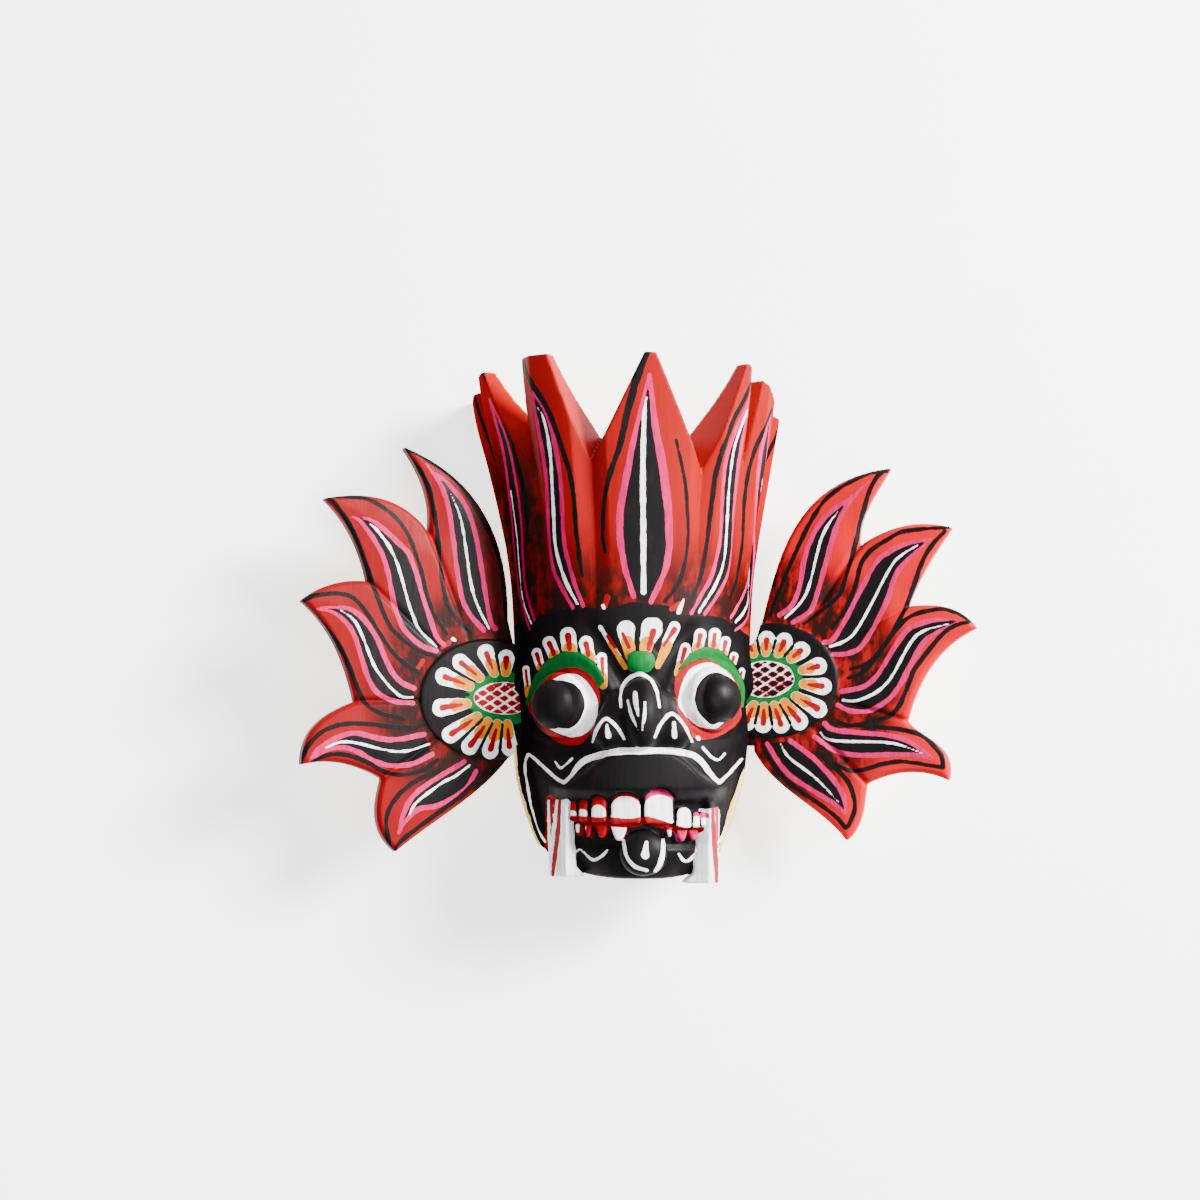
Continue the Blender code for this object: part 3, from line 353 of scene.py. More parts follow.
# wing flames: white line, the two pink lines, the two outlines
LEFT_FLAMES = (
    (((9.4, 73), (14.4, 83.6), (17.8, 103), (21.1, 111.3)),
     ((11, 72.6), (17.7, 81.8), (22.2, 109), (28.5, 119.7)),
     ((7.5, 73.1), (9.5, 77.5), (14.5, 103.3), (21, 113.4), (25.5, 117)),
     ((35.6, 124.2), (28.8, 115.6), (25.8, 105.6), (23, 83.1), (20.2, 76.9), (15.2, 72.1)),
     ((34.5, 123.8), (28.4, 121.1), (17.7, 113.3), (7.3, 95.8), (4.2, 75.9))),
    (((24.9, 67.3), (31.7, 74.7), (37.4, 91.6), (42.3, 99.1), (45.3, 101.8)),
     ((25.1, 66.3), (30, 67.8), (34.9, 72.2), (37.8, 79.1), (41, 92.1), (47.1, 101.5), (50.5, 103.6)),
     ((23, 68.1), (25.9, 71.9), (32.5, 91.1), (35.6, 95.6), (43.1, 101.8), (47.1, 103.3)),
     ((57.6, 109.1), (54.4, 106.1), (49.1, 97.9), (40.6, 75.8), (36.6, 70.5), (30.8, 66.5),
     (25.1, 64.7)),
     ((56.8, 109.1), (45.5, 108.6), (35.7, 101.9), (30.4, 90.5), (28.4, 82.7), (25.9, 76.6),
     (22.2, 71.3))),
    (((32.1, 53), (36.6, 53.7), (43.1, 60.8), (47.5, 70.7), (49.9, 74.5), (53.6, 77)),
     ((32.1, 51.4), (37.4, 51.8), (42.3, 53.9), (45.5, 58.4), (49.1, 69.1), (52, 73.6), (55.6, 76.3),
     (60.4, 77.2)),
     ((31.7, 55.5), (35.7, 57.3), (39, 61), (43.9, 70.9), (50.3, 77.2), (59.2, 77.5)),
     ((64.6, 78.8), (60, 74.7), (52.4, 65), (45.5, 50.6), (34.9, 47)),
     ((64.4, 79.1), (60, 81.1), (49.5, 80.3), (39, 66.5), (34.9, 62.8), (30.8, 60.3))),
    (((27, 39.9), (36.6, 37.6), (51.1, 40.2), (57.7, 38.3)),
     ((26.3, 37), (31.7, 34.4), (37.4, 33.6), (43.1, 34.7), (47.9, 37.3), (52.8, 38.6), (57.6, 37.6),
     (61.7, 34.7)),
     ((28.8, 42.6), (39, 40.9), (50.3, 42.6), (59.2, 38.3), (61.9, 35)),
     ((61.2, 34.4), (56.8, 36.5), (51.1, 36.5), (45.5, 34.6), (40.6, 32.1), (34.9, 31.2),
     (29.2, 32.6), (24.7, 35.5)),
     ((64.4, 34.5), (62.4, 39), (58.4, 43), (52.8, 45), (46.3, 45.3), (33.3, 44.4), (28.8, 45.5))),
    (((15.2, 34), (19.3, 31), (23.5, 28.9), (30.8, 23.5), (33, 20)),
     ((13.1, 32.4), (16, 27.6), (21, 24.2), (25.9, 22.3), (30, 21.6), (33.3, 19.1), (36.1, 14.6)),
     ((16.8, 35), (31.7, 25.4), (36.2, 15.2)),
     ((37, 9.9), (34.1, 13.6), (18.5, 24.7), (13.5, 29.2), (8.1, 33)),
     ((23, 33.2), (33.3, 28.1), (39.4, 20.4), (38.6, 11.9), (37.2, 10))),
)
RIGHT_FLAMES = (
    (((11.2, 76.6), (17.4, 83.7), (22, 99.8), (26.6, 106.8)),
     ((9.4, 77.4), (13.1, 80.1), (15.5, 86), (17, 94.1), (20, 101.4), (24.1, 106.6), (30, 110.5),
     (35.6, 115.5)),
     ((13.4, 75.3), (17.1, 77.4), (20, 81.9), (26.7, 104), (32.1, 111.8)),
     ((41.9, 118.3), (35.3, 117.7), (22.6, 110.1), (13.1, 92.9), (6.7, 77.4)),
     ((39.7, 118.1), (37.3, 115.6), (34.7, 109.4), (28.7, 87.4), (25.6, 81.6), (16.5, 74.8))),
    (((24.1, 68.1), (31.5, 72.3), (41.2, 89.6), (44.9, 93.9), (49.7, 96.7)),
     ((22.4, 69.4), (26.3, 71.8), (36.7, 90.6), (41.2, 94.8), (46.4, 97.1), (53.1, 98.2)),
     ((25, 65.8), (29.3, 66.1), (33.8, 68.8), (40.5, 80.7), (42.7, 87.3), (45.6, 91.6), (52.6, 97.8)),
     ((58.5, 101.7), (47.8, 101.1), (42.7, 99.6), (34.5, 93.8), (31.2, 84.3), (28.5, 78.4),
     (24.8, 73.4)),
     ((57.4, 100.6), (51.5, 93.4), (44.9, 76.8), (36.7, 64.6), (30, 61.6))),
    (((27.7, 52.7), (31.5, 52.5), (36.7, 54.5), (41.2, 58.4), (47.1, 68.5), (50.8, 72), (58.2, 74)),
     ((27.3, 55.2), (36, 57.9), (44.9, 70.8), (49.3, 73.9), (54.4, 75.1), (59.7, 75.1)),
     ((26.2, 51.3), (30, 49.6), (35.3, 49.7), (40.5, 52.5), (44.1, 56.8), (50, 67.6), (53.7, 71.1),
     (60.7, 74.4)),
     ((64.3, 74.8), (59.6, 77.4), (54.4, 78.2), (45.6, 75.2), (36.7, 63.8), (33, 60.3), (29.3, 59)),
     ((63.6, 74.4), (59.6, 73.4), (55.2, 69.9), (48.6, 61.7), (46.7, 57.4), (41.9, 48.7),
     (30.8, 45.5), (26.7, 46.4))),
    (((21.1, 43.5), (24.8, 41.2), (41.2, 40.4), (50.4, 37.3)),
     ((22.4, 46.1), (26.3, 44), (43.4, 41.9), (53.3, 36)),
     ((19.4, 42.4), (28.5, 37.3), (47.1, 37), (53, 35.4)),
     ((30.8, 45.5), (47.8, 43.4), (55, 37.7), (56.1, 33.4)),
     ((55.9, 33.3), (45.6, 35), (39.7, 34.6), (30, 32.6), (21.1, 37.3))),
    (((9.6, 40.5), (12, 36.5), (19.6, 30.6), (26.2, 23.8)),
     ((12.4, 41.2), (20.3, 35.1), (26.9, 26.9), (28.4, 20.9)),
     ((5.6, 40.5), (12, 31.6), (24.8, 23.3), (27.8, 20.5)),
     ((20.3, 37.7), (27.8, 31), (30.4, 26.1), (30.8, 21.6), (29.3, 17.5), (28.2, 16.4)),
     ((4, 40.2), (10.5, 30.6), (24.1, 20.7), (28, 16.4))),
)

# wing petals: tips round each disc; the green ring's centre, its half sizes and the net's
LEFT_PETALS = ((4.4, 66.9), (11.5, 68.1), (20.0, 64.5), (25.4, 59.7), (26.3, 49.8), (23.0, 41.4),
               (16.7, 37.6), (9.8, 36.2), (3.1, 37.1))
RIGHT_PETALS = ((-0.6, 72.0), (5.9, 72.6), (12.0, 71.6), (17.6, 68.4), (22.9, 62.9), (24.2, 56.4),
                (22.6, 49.2), (16.7, 45.0), (10.6, 43.8), (4.6, 43.8), (-1.0, 44.7))
LEFT_RING = ((5.0, 53.2), (11.7, 7.5), (9.4, 4.7))
RIGHT_RING = ((5.4, 59.0), (11.5, 7.8), (8.5, 5.4))
# places where the black missed the red ground, and a chip
LEFT_PATCHES = (("scarlet", ((21.5, 68.8, 1.5), (23.6, 67.2, 1.2))),
                ("scarlet", ((29.4, 63.2, 1.6), (31.0, 61.0, 1.2))),
                ("light", ((20.4, 69.9, 1.2), (19.6, 69.4, 1.0))))
# the lattice in each disc: width and height of a cell, slope and half width of its lines
NET_CELL = (4.4, 2.7)
NET_SLOPE = 1.15
NET_LINE = 0.2
# brush widths on the wings: outlines, pink lines and white lines
OUTLINE_WIDTH = 1.2
PINK_WIDTH = 1.55
WHITE_WIDTH = 0.95
# brown wash of each wing: how far past the disc it reaches, and over what length it fades
LEFT_WASH = (19.5, 11.0)
RIGHT_WASH = (24.0, 11.0)
# bare strips beside the jaw: how far each comes forward from the rim
JAW_STRIP_LEFT = 6.8
JAW_STRIP_RIGHT = 26.0
JAW_CORNER_Y = 21.0
JAW_CORNER_SLOPE = 0.4
# where the drawn plane's zero lies from the point that the camera looks at
DRAWN_SHIFT = (-8.8, 79.5)
LAYERS = ("black", "green", "white", "orange", "scarlet", "pink", "ink", "light")
WASHES = ("bare", "wash_and_shade", "cut")
# layers that share another one's paint
LAYER_PAINT = {"ink": "black", "light": "white"}
# pale lines look wider than they are in the picture, so their edges are drawn in, in millimetres
LAYER_INSET = {"white": 0.1, "light": 0.12, "pink": 0.04, "ink": -0.05}
EDGE_SOFTNESS = 0.07
# a layer's value where it isn't painted
UNPAINTED = 4.0
LOW_GLOSS = 0.06
GLOSS_FADE = 0.012

# stage
LENS = 84.5
SENSOR = 36.0
TABLE_HALF_WIDTH = 3.0
ROOM_LIGHT = (0.93, 0.95, 1.0, 1.0)
ROOM_STRENGTH = 0.4
# lamps: name, place in metres, watts, width in metres
LAMPS = (("key", (0.95, 0.5, 0.72), 105.0, 0.5), ("fill", (0.1, -0.3, 1.4), 20.0, 0.9))


# shared arithmetic

def ease(value):
    """Smooth step from 0 to 1."""
    value = np.clip(value, 0.0, 1.0)
    return value * value * (3.0 - 2.0 * value)


def bump(distance, width):
    """Bell curve, 1 at no distance."""
    return np.exp(-(distance / width) ** 2)


def softer_max(first, second, radius):
    """The larger of two distances, with the crease rounded."""
    blend = np.clip(0.5 + 0.5 * (first - second) / radius, 0.0, 1.0)
    return second + (first - second) * blend + radius * blend * (1.0 - blend)


def softer_min(first, second, radius):
    """The smaller of two distances, with the join filleted."""
    return -softer_max(-first, -second, radius)


DRAWN_CURVES = {}


def along(stations, place):
    """Size at a place on a smooth line through (place, size) stations."""
    if stations not in DRAWN_CURVES:
        knots = np.array(stations)
        at, size = knots[:, 0], knots[:, 1]
        slopes = np.empty(len(at))
        slopes[1:-1] = (size[2:] - size[:-2]) / (at[2:] - at[:-2])
        slopes[0] = (size[1] - size[0]) / (at[1] - at[0])
        slopes[-1] = (size[-1] - size[-2]) / (at[-1] - at[-2])
        fine = np.linspace(at[0], at[-1], 1200)
        index = np.clip(np.searchsorted(at, fine) - 1, 0, len(at) - 2)
        span = at[index + 1] - at[index]
        part = (fine - at[index]) / span
        square, cube = part ** 2, part ** 3
        drawn = ((2 * cube - 3 * square + 1) * size[index]
                 + (cube - 2 * square + part) * slopes[index] * span
                 + (3 * square - 2 * cube) * size[index + 1]
                 + (cube - square) * slopes[index + 1] * span)
        DRAWN_CURVES[stations] = (fine, drawn)
    fine, drawn = DRAWN_CURVES[stations]
    return np.interp(place, fine, drawn)


# carving the head

def shell(x, y, z, inset=0.0):
    """Distance outside the plain half-round block, and the angle round its front."""
    half = along(HALF_WIDTH, y) - inset
    deep = along(FRONT_DEPTH, y) - SIDE_DEPTH - inset
    out = z - SIDE_DEPTH
    turn = np.arctan2(x / half, np.maximum(out, 0.0) / deep)
    half = half + np.where(x < 0.0, along(LEFT_SPREAD, y) * np.sin(turn) ** 2, 0.0)
    ring = np.maximum(np.hypot(x / half, out / deep), 0.02)
    steepness = np.hypot(x / half ** 2, out / deep ** 2) / ring
    past = np.clip(-out / SIDE_DEPTH, 0.0, 1.5)
    beside = np.abs(x) - (half + along(RIM_FLARE, y) * past)
    distance = np.where(out > 0.0, (ring - 1.0) / np.maximum(steepness, 0.004), beside)
    angle = np.where(out > 0.0, np.degrees(turn), np.sign(x) * (90.0 + RIM_ANGLE * past))
    return distance, angle


def relief(x, y, angle):
    """Carved height over the plain block."""
    value = np.zeros(np.shape(x))
    groove = along(GROOVE_DEPTH, y)
    for notch in NOTCHES:
        value -= groove * np.maximum(0.0, 1.0 - np.abs(angle - notch[0]) / GROOVE_HALF_ANGLE)
    face = ease((76.0 - y) / 4.0) * ease((92.0 - np.abs(angle)) / 4.0)
    carved = np.zeros(np.shape(x))
    for side, eye_x, eye_y in zip((-1.0, 1.0), EYE_X, EYE_Y):
        reach = np.hypot(x - eye_x, y - eye_y)
        carved -= EYE_MOAT[0] * bump(reach - EYE_RADIUS - 1.2, EYE_MOAT[1])
        above = ease((y - eye_y + 1.0) / 6.0)
        carved += BROW_ROLL[0] * above * bump(reach - BROW_RADIUS, BROW_ROLL[1])
        carved += LID_EDGE[0] * bump(reach - EYE_RADIUS - 1.0, LID_EDGE[1])
        furrow = 5.5 + 0.5 * (y - 56.0)
        ends = ease((y - 50.0) / 5.0) * ease((76.0 - y) / 8.0)
        carved -= FURROW[0] * ends * bump(side * x - furrow, FURROW[1])
    edge = LIP_TOP - LIP_DROP * ease((np.abs(x) - 7.0) / 15.0)
    lip = ease((edge + 1.0 - y) / 3.0) * ease((y - LIP_BOTTOM + 2.0) / 5.0)
    carved += LIP_RISE * lip * ease((LIP_HALF - np.abs(x)) / 5.0)
    mouth = ease((LIP_BOTTOM - y) / 2.0) * ease((y - 9.5) / 2.5)
    carved -= MOUTH_DEPTH * mouth * ease((MOUTH_HALF - np.abs(x)) / 3.0)
    return value + carved * face


def on_shell(across, height, lift=0.0):
    """Frame standing on the carved face: x across, y up the face, z outward."""
    turn = math.asin(across / float(along(HALF_WIDTH, height)))
    half = float(along(HALF_WIDTH, height))
    deep = float(along(FRONT_DEPTH, height)) - SIDE_DEPTH
    point = np.array((half * math.sin(turn), height, SIDE_DEPTH + deep * math.cos(turn)))
    normal = np.array((deep * math.sin(turn), 0.0, half * math.cos(turn)))
    normal /= np.linalg.norm(normal)
    rise = float(relief(np.array(across), np.array(height), np.array(math.degrees(turn))))
    sideways = np.cross((0.0, 1.0, 0.0), normal)
    return point + normal * (rise + lift), sideways, np.cross(normal, sideways), normal


def leaned(place, degrees):
    """The frame leaning back about its own x axis."""
    point, sideways, upright, normal = place
    turn = math.radians(degrees)
    return (point, sideways, upright * math.cos(turn) + normal * math.sin(turn),
            normal * math.cos(turn) - upright * math.sin(turn))


def local(place, x, y, z):
    """Coordinates in a frame on the face."""
    point = place[0]
    offset = (x - point[0], y - point[1], z - point[2])
    return [offset[0] * axis[0] + offset[1] * axis[1] + offset[2] * axis[2] for axis in place[1:]]


def egg(coordinates, radii):
    """Distance outside an ellipsoid."""
    scaled = sum((part / radius) ** 2 for part, radius in zip(coordinates, radii)) ** 0.5
    steep = sum((part / radius ** 2) ** 2 for part, radius in zip(coordinates, radii)) ** 0.5
    return scaled * (scaled - 1.0) / np.maximum(steep, 1e-6)


def pebble(coordinates, radii, rounding):
    """Distance outside a box with rounded edges."""
    over = [np.abs(part) - radius + rounding for part, radius in zip(coordinates, radii)]
    outside = sum(np.maximum(part, 0.0) ** 2 for part in over) ** 0.5
    inside = np.minimum(np.maximum(np.maximum(over[0], over[1]), over[2]), 0.0)
    return outside + inside - rounding


def rounded_slab(coordinates, radii, rounding):
    """Distance outside a slab with rounded corners in plan and eased edges."""
    over = [np.abs(part) - radius + rounding for part, radius in zip(coordinates[:2], radii)]
    plan = np.hypot(np.maximum(over[0], 0.0), np.maximum(over[1], 0.0)) - rounding
    plan = plan + np.minimum(np.maximum(over[0], over[1]), 0.0)
    return softer_max(plan, np.abs(coordinates[2]) - radii[2], 0.9)


def face_forms():
    """Egg-shaped lumps of the face: frame, half sizes and the fillet round each."""
    forms = []
    for side, eye_x, eye_y in zip((-1.0, 1.0), EYE_X, EYE_Y):
        forms.append((on_shell(eye_x, eye_y, 0.4), (EYE_RADIUS, EYE_RADIUS, EYE_RISE), 0.4))
        forms.append((on_shell(eye_x, eye_y, PUPIL_LIFT),
                      (PUPIL_RADIUS, PUPIL_RADIUS, PUPIL_RISE), 0.3))
        forms.append((on_shell(side * NOSTRIL_X, NOSTRIL_Y), (5.2, 5.2, 5.0), 1.2))
    forms.append((on_shell(0.0, NOSE_Y - 1.5), (12.0, 9.6, 3.4), 2.0))
    forms.append((leaned(on_shell(0.0, NOSE_Y), -15.0), (5.8, 10.6, 7.6), 1.5))
    forms.append((on_shell(-0.3, KNOB_Y, -0.6), (4.4, 3.8, 2.6), 1.5))
    forms.append((on_shell(0.5, TONGUE_Y, 0.6), (6.7, 6.3, 3.6), 0.6))
    return forms


def tooth_frames():
    """Each tooth's frame, half sizes, rounding of its upper and lower end, and how it tapers."""
    teeth = []
    for row, high, low, point in ((UPPER_TEETH, 0.46, 0.14, -0.06), (LOWER_TEETH, 0.1, 0.3, 0.6)):
        for across, height, width, tall, _, _ in row:
            teeth.append((on_shell(across, height, 0.7), (width / 2.0, tall / 2.0, 1.7),
                          high * width, low * width, point))
    return teeth


def tooth_field(tooth, x, y, z, margin=0.0, recess=False):
    """Distance outside a tooth; a recess reaches on outwards past the face."""
    frame, radii, high, low, point = tooth
    spot = local(frame, x, y, z)
    spot[0] = spot[0] / (1.0 - point * np.clip(0.5 - spot[1] / radii[1] * 0.5, 0.0, 1.0))
    rounding = np.where(spot[1] > 0.0, high, low) + margin
    deep = radii[2] * 2.0 if recess else radii[2]
    if recess:
        spot[2] = spot[2] - TOOTH_RECESS
    return rounded_slab(spot, (radii[0] + margin, radii[1] + margin, deep), rounding)


def tooth_plan(tooth, x, y, z):
    """Distance outside the edge of a tooth as seen from the front."""
    return tooth_field((tooth[0], (*tooth[1][:2], 9.0)) + tooth[2:], x, y, z)


def line_gap(out, deep, start, end):
    """Distance of (out, deep) above the line from start to end."""
    run, rise = end[0] - start[0], end[1] - start[1]
    length = np.hypot(run, rise)
    return ((deep - start[1]) * run - (out - start[0]) * rise) / length


def tusk_field(x, y, z, side, top, foot, foot_height):
    """Ridged prism at a corner of the mouth."""
    part = np.clip((TUSK_TOP - y) / (TUSK_TOP - foot_height), 0.0, 1.0)
    outer, ridge, inner = [high + (low - high) * part for high, low in zip(top, foot)]
    inner = inner - TUSK_TOE * ease((foot_height + 3.4 - y) / 3.4)
    level = np.maximum(y, TUSK_LEVEL)
    half = along(HALF_WIDTH, level)
    deep = along(FRONT_DEPTH, level) - SIDE_DEPTH
    crest = SIDE_DEPTH + deep * np.sqrt(1.0 - (ridge / half) ** 2) + along(TUSK_RIDGE, y)
    out = side * x
    field = softer_max(out - outer, inner - out, 0.3)
    field = softer_max(field, line_gap(out, z, (inner, crest - 2.2), (ridge, crest)), 0.4)
    field = softer_max(field, line_gap(out, z, (ridge, crest), (outer, crest - 7.0)), 0.4)
    field = softer_max(field, y - TUSK_TOP, 0.6)
    field = softer_max(field, foot_height - y, 0.4)
    return softer_max(field, crest - 14.0 - z, 0.4)


def shell_point(angle, height, inset=0.0):
    """Point on the plain block at an angle round its front."""
    turn = math.radians(angle)
    half = float(along(HALF_WIDTH, height)) - inset
    if angle < 0.0:
        half += float(along(LEFT_SPREAD, height)) * math.sin(turn) ** 2
    deep = float(along(FRONT_DEPTH, height)) - SIDE_DEPTH - inset
    return np.array((half * math.sin(turn), height, SIDE_DEPTH + deep * math.cos(turn)))


def notch_planes(notch):
    """The two cut planes of a notch and its inner end, as (point, outward normal)."""
    valley, outer_height, inner_height, left, right = notch
    outer = shell_point(valley, outer_height)
    inner = shell_point(valley, inner_height, float(along(WALL, inner_height)))
    planes = []
    for angle in (left, right):
        top = shell_point(angle, NOTCH_TOP)
        normal = np.cross(outer - inner, top - outer)
        normal /= np.linalg.norm(normal)
        middle = shell_point((left + right) / 2.0, NOTCH_TOP)
        if np.dot(middle - outer, normal) > 0.0:
            normal = -normal
        planes.append((outer, normal))
    reach = (outer - inner) * (1.0, 0.0, 1.0)
    reach /= np.linalg.norm(reach)
    planes.append((inner - reach * 5.0, -reach))
    return planes


def wing_axes(side):
    """Wing plane in the carver's frame: origin, out, up, front."""
    sweep = math.radians(WING_SWEEP)
    return (np.array((side * WING_ROOT_X, 0.0, WING_ROOT_Z)),
            np.array((side * math.cos(sweep), 0.0, math.sin(sweep))),
            np.array((0.0, 1.0, 0.0)),
            np.array((-side * math.sin(sweep), 0.0, math.cos(sweep))))


FACE_FORMS = face_forms()
TOOTH_FRAMES = tooth_frames()
NOTCH_PLANES = [notch_planes(notch) for notch in NOTCHES]


def head_field(x, y, z):
    """Distance outside the carved head."""
    plain, angle = shell(x, y, z)
    front = np.where(z > SIDE_DEPTH, angle, np.sign(x) * 90.0)
    field = plain - relief(x, y, front)
    near = (y > 11.0) & (y < 28.0) & (z > 20.0) & (np.abs(x) < 20.0)
    if near.any():
        spot = (x[near], y[near], z[near])
        carved = field[near]
        for tooth in TOOTH_FRAMES[:len(UPPER_TEETH)]:
            carved = softer_max(carved, -tooth_field(tooth, *spot, 0.5, True), 0.3)
        for tooth in TOOTH_FRAMES:
            carved = softer_min(carved, tooth_field(tooth, *spot), 0.2)
        field[near] = carved
    for place, radii, fillet in FACE_FORMS:
        reach = max(radii) + 2.5
        near = ((np.abs(x - place[0][0]) < reach) & (np.abs(y - place[0][1]) < reach)
                & (np.abs(z - place[0][2]) < reach))
        if not near.any():
            continue
        spot = local(place, x[near], y[near], z[near])
        field[near] = softer_min(field[near], egg(spot, radii), fillet)
    deep = along(FRONT_DEPTH, y) - SIDE_DEPTH
    level = np.degrees(np.arccos(np.clip((z - SIDE_DEPTH) / deep, -0.3, 1.0)))
    field = softer_max(field, along(CHIN_EDGE, level) - y, 0.8)
    for side, top, foot, foot_height in TUSKS:
        near = (side * x > 12.0) & (y < 27.0) & (z > 12.0)
        if near.any():
            tusk = tusk_field(x[near], y[near], z[near], side, top, foot, foot_height)
            field[near] = softer_min(field[near], tusk, 0.3)
    field = softer_max(field, y - along(CROWN_TOP, angle), 0.4)
    field = softer_max(field, -z, 0.3)
    rounding = 4.0 * (1.0 - ease((y - CHIN_WALL) / 8.0))
    hollow = shell(x, y, np.maximum(z, -2.0), along(WALL, y) + rounding)[0]
    hollow = softer_max(hollow, CHIN_WALL - y, 1.5)
    field = softer_max(field, -hollow, 0.4)
    for planes in NOTCH_PLANES:
        near = y > 108.0
        if not near.any():
            continue
        spot = (x[near], y[near], z[near])
        cut = None
        for point, normal in planes:
            gap = sum((part - at) * way for part, at, way in zip(spot, point, normal))
            cut = gap if cut is None else np.maximum(cut, gap)
        field[near] = softer_max(field[near], -cut, 0.35)
    for side in (-1.0, 1.0):
        near = (side * x > 20.0) & (y > 30.0) & (y < 80.0)
        if not near.any():
            continue
        origin, out, up, forward = wing_axes(side)
        spot = local((origin, out, up, forward), x[near], y[near], z[near])
        length = SLOT_MOUTH + TONGUE_LENGTH + FIT_GAP
        spot[0] = spot[0] - (SLOT_MOUTH - TONGUE_LENGTH - FIT_GAP) / 2.0
        spot[1] = spot[1] - (TONGUE_LOW + TONGUE_HIGH) / 2.0
        half = (length / 2.0, (TONGUE_HIGH - TONGUE_LOW) / 2.0 + FIT_GAP,
                WING_THICKNESS / 2.0 + FIT_GAP)
        field[near] = np.maximum(field[near], -pebble(spot, half, 0.1))
    return field


# carving a wing

def bezier(start, start_handle, end_handle, end, steps):
    """Points of one curve, without its end."""
    part = (np.arange(steps) / steps)[:, None]
    rest = 1.0 - part
    return (rest ** 3 * start + 3 * rest ** 2 * part * start_handle
            + 3 * rest * part ** 2 * end_handle + part ** 3 * end)


def wing_outline(layout):
    """Closed outline of a wing with the tongue at its root."""
    tips, valleys, root, bows = layout
    corners = [root[0]]
    for tip, valley in zip(tips, valleys + (root[1],)):
        corners += [tip, valley]
    corners = np.array(corners)
    points = []
    for index, bow in enumerate(bows):
        start, end = corners[index], corners[index + 1]
        chord = end - start
        outward = np.array((-chord[1], chord[0])) / np.hypot(*chord)
        points.append(bezier(start, start + chord / 3.0 + outward * bow[0],
                             start + chord * 2.0 / 3.0 + outward * bow[1], end, 16))
    points.append([corners[-1], (ROOT_EDGE, TONGUE_LOW), (-TONGUE_LENGTH, TONGUE_LOW),
                   (-TONGUE_LENGTH, TONGUE_HIGH), (ROOT_EDGE, TONGUE_HIGH)])
    return np.vstack(points)


def outline_distance(u, v, outline):
    """Signed distance to a closed outline, negative inside."""
    nearest = np.full(u.shape, 1e9)
    inside = np.zeros(u.shape, bool)
    for start, end in zip(outline, np.roll(outline, -1, axis=0)):
        run, rise = end - start
        part = np.clip(((u - start[0]) * run + (v - start[1]) * rise) / (run ** 2 + rise ** 2), 0, 1)
        gap = (u - start[0] - run * part) ** 2 + (v - start[1] - rise * part) ** 2
        nearest = np.minimum(nearest, gap)
        if start[1] != end[1]:
            crosses = (start[1] > v) != (end[1] > v)
            inside ^= crosses & (u < start[0] + run * (v - start[1]) / rise)
    return np.where(inside, -1.0, 1.0) * np.sqrt(nearest)


class Wing:
    """One flame wing: its outline, disc and front relief in its own plane."""

    MAP_STEP = 0.25

    def __init__(self, side, layout, disc):
        self.side = side
        self.disc = disc
        self.valleys = layout[1]
        self.axes = wing_axes(side)
        outline = wing_outline(layout)
        self.low = outline.min(axis=0) - 3.0
        self.high = outline.max(axis=0) + 3.0
        self.counts = np.ceil((self.high - self.low) / self.MAP_STEP).astype(int) + 1
        across = self.low[0] + self.MAP_STEP * np.arange(self.counts[0])
        upward = self.low[1] + self.MAP_STEP * np.arange(self.counts[1])
        grid = np.meshgrid(across, upward, indexing="ij")
        self.edge_map = outline_distance(grid[0], grid[1], outline)

    def edge(self, u, v):
        """Distance outside the outline, read from the drawn map."""
        column = np.clip((u - self.low[0]) / self.MAP_STEP, 0, self.counts[0] - 1.001)
        row = np.clip((v - self.low[1]) / self.MAP_STEP, 0, self.counts[1] - 1.001)
        i, j = column.astype(int), row.astype(int)
        a, b = column - i, row - j
        drawn = self.edge_map
        return ((drawn[i, j] * (1 - a) + drawn[i + 1, j] * a) * (1 - b)
                + (drawn[i, j + 1] * (1 - a) + drawn[i + 1, j + 1] * a) * b)

    def front(self, u, v, edge):
        """Height of the carved front over the middle of the board."""
        half = WING_THICKNESS / 2.0
        top = half - FRONT_FALL[0] + FRONT_FALL[0] * ease(-edge / FRONT_FALL[1])
        top = top - EDGE_FALL[0] * (1.0 - ease((-edge + 0.2) / EDGE_FALL[1]))
        place, height, wide, tall = self.disc
        centre = np.array((place, height))
        ring = np.hypot((u - place) / wide, (v - height) / tall)
        depth, half_width, share = VALLEY_GROOVE
        for valley in self.valleys:
            start = np.array(valley)
            inward = (centre - start) / np.linalg.norm(centre - start)
            length = np.linalg.norm(centre - start) * share
            run = (u - start[0]) * inward[0] + (v - start[1]) * inward[1]
            beside = (u - start[0]) * inward[1] - (v - start[1]) * inward[0]
            fade = ease((run + 3.0) / 3.0) * ease((length - run) / (length * 0.6))
            top = top - depth * fade * bump(beside, half_width)
        raised = half + DISC_RISE - DISC_DOME * np.clip(ring, 0, 1) ** 4
        disc = ease((1.0 - ring) * 22.0)
        return top + (raised - top) * disc

    def field(self, u, v, w):
        """Distance outside the carved wing, in its own plane."""
        edge = self.edge(u, v)
        body = softer_max(edge, -w - WING_THICKNESS / 2.0, 0.5)
        return softer_max(body, w - self.front(u, v, edge), 0.3)


# turning a distance field into a mesh

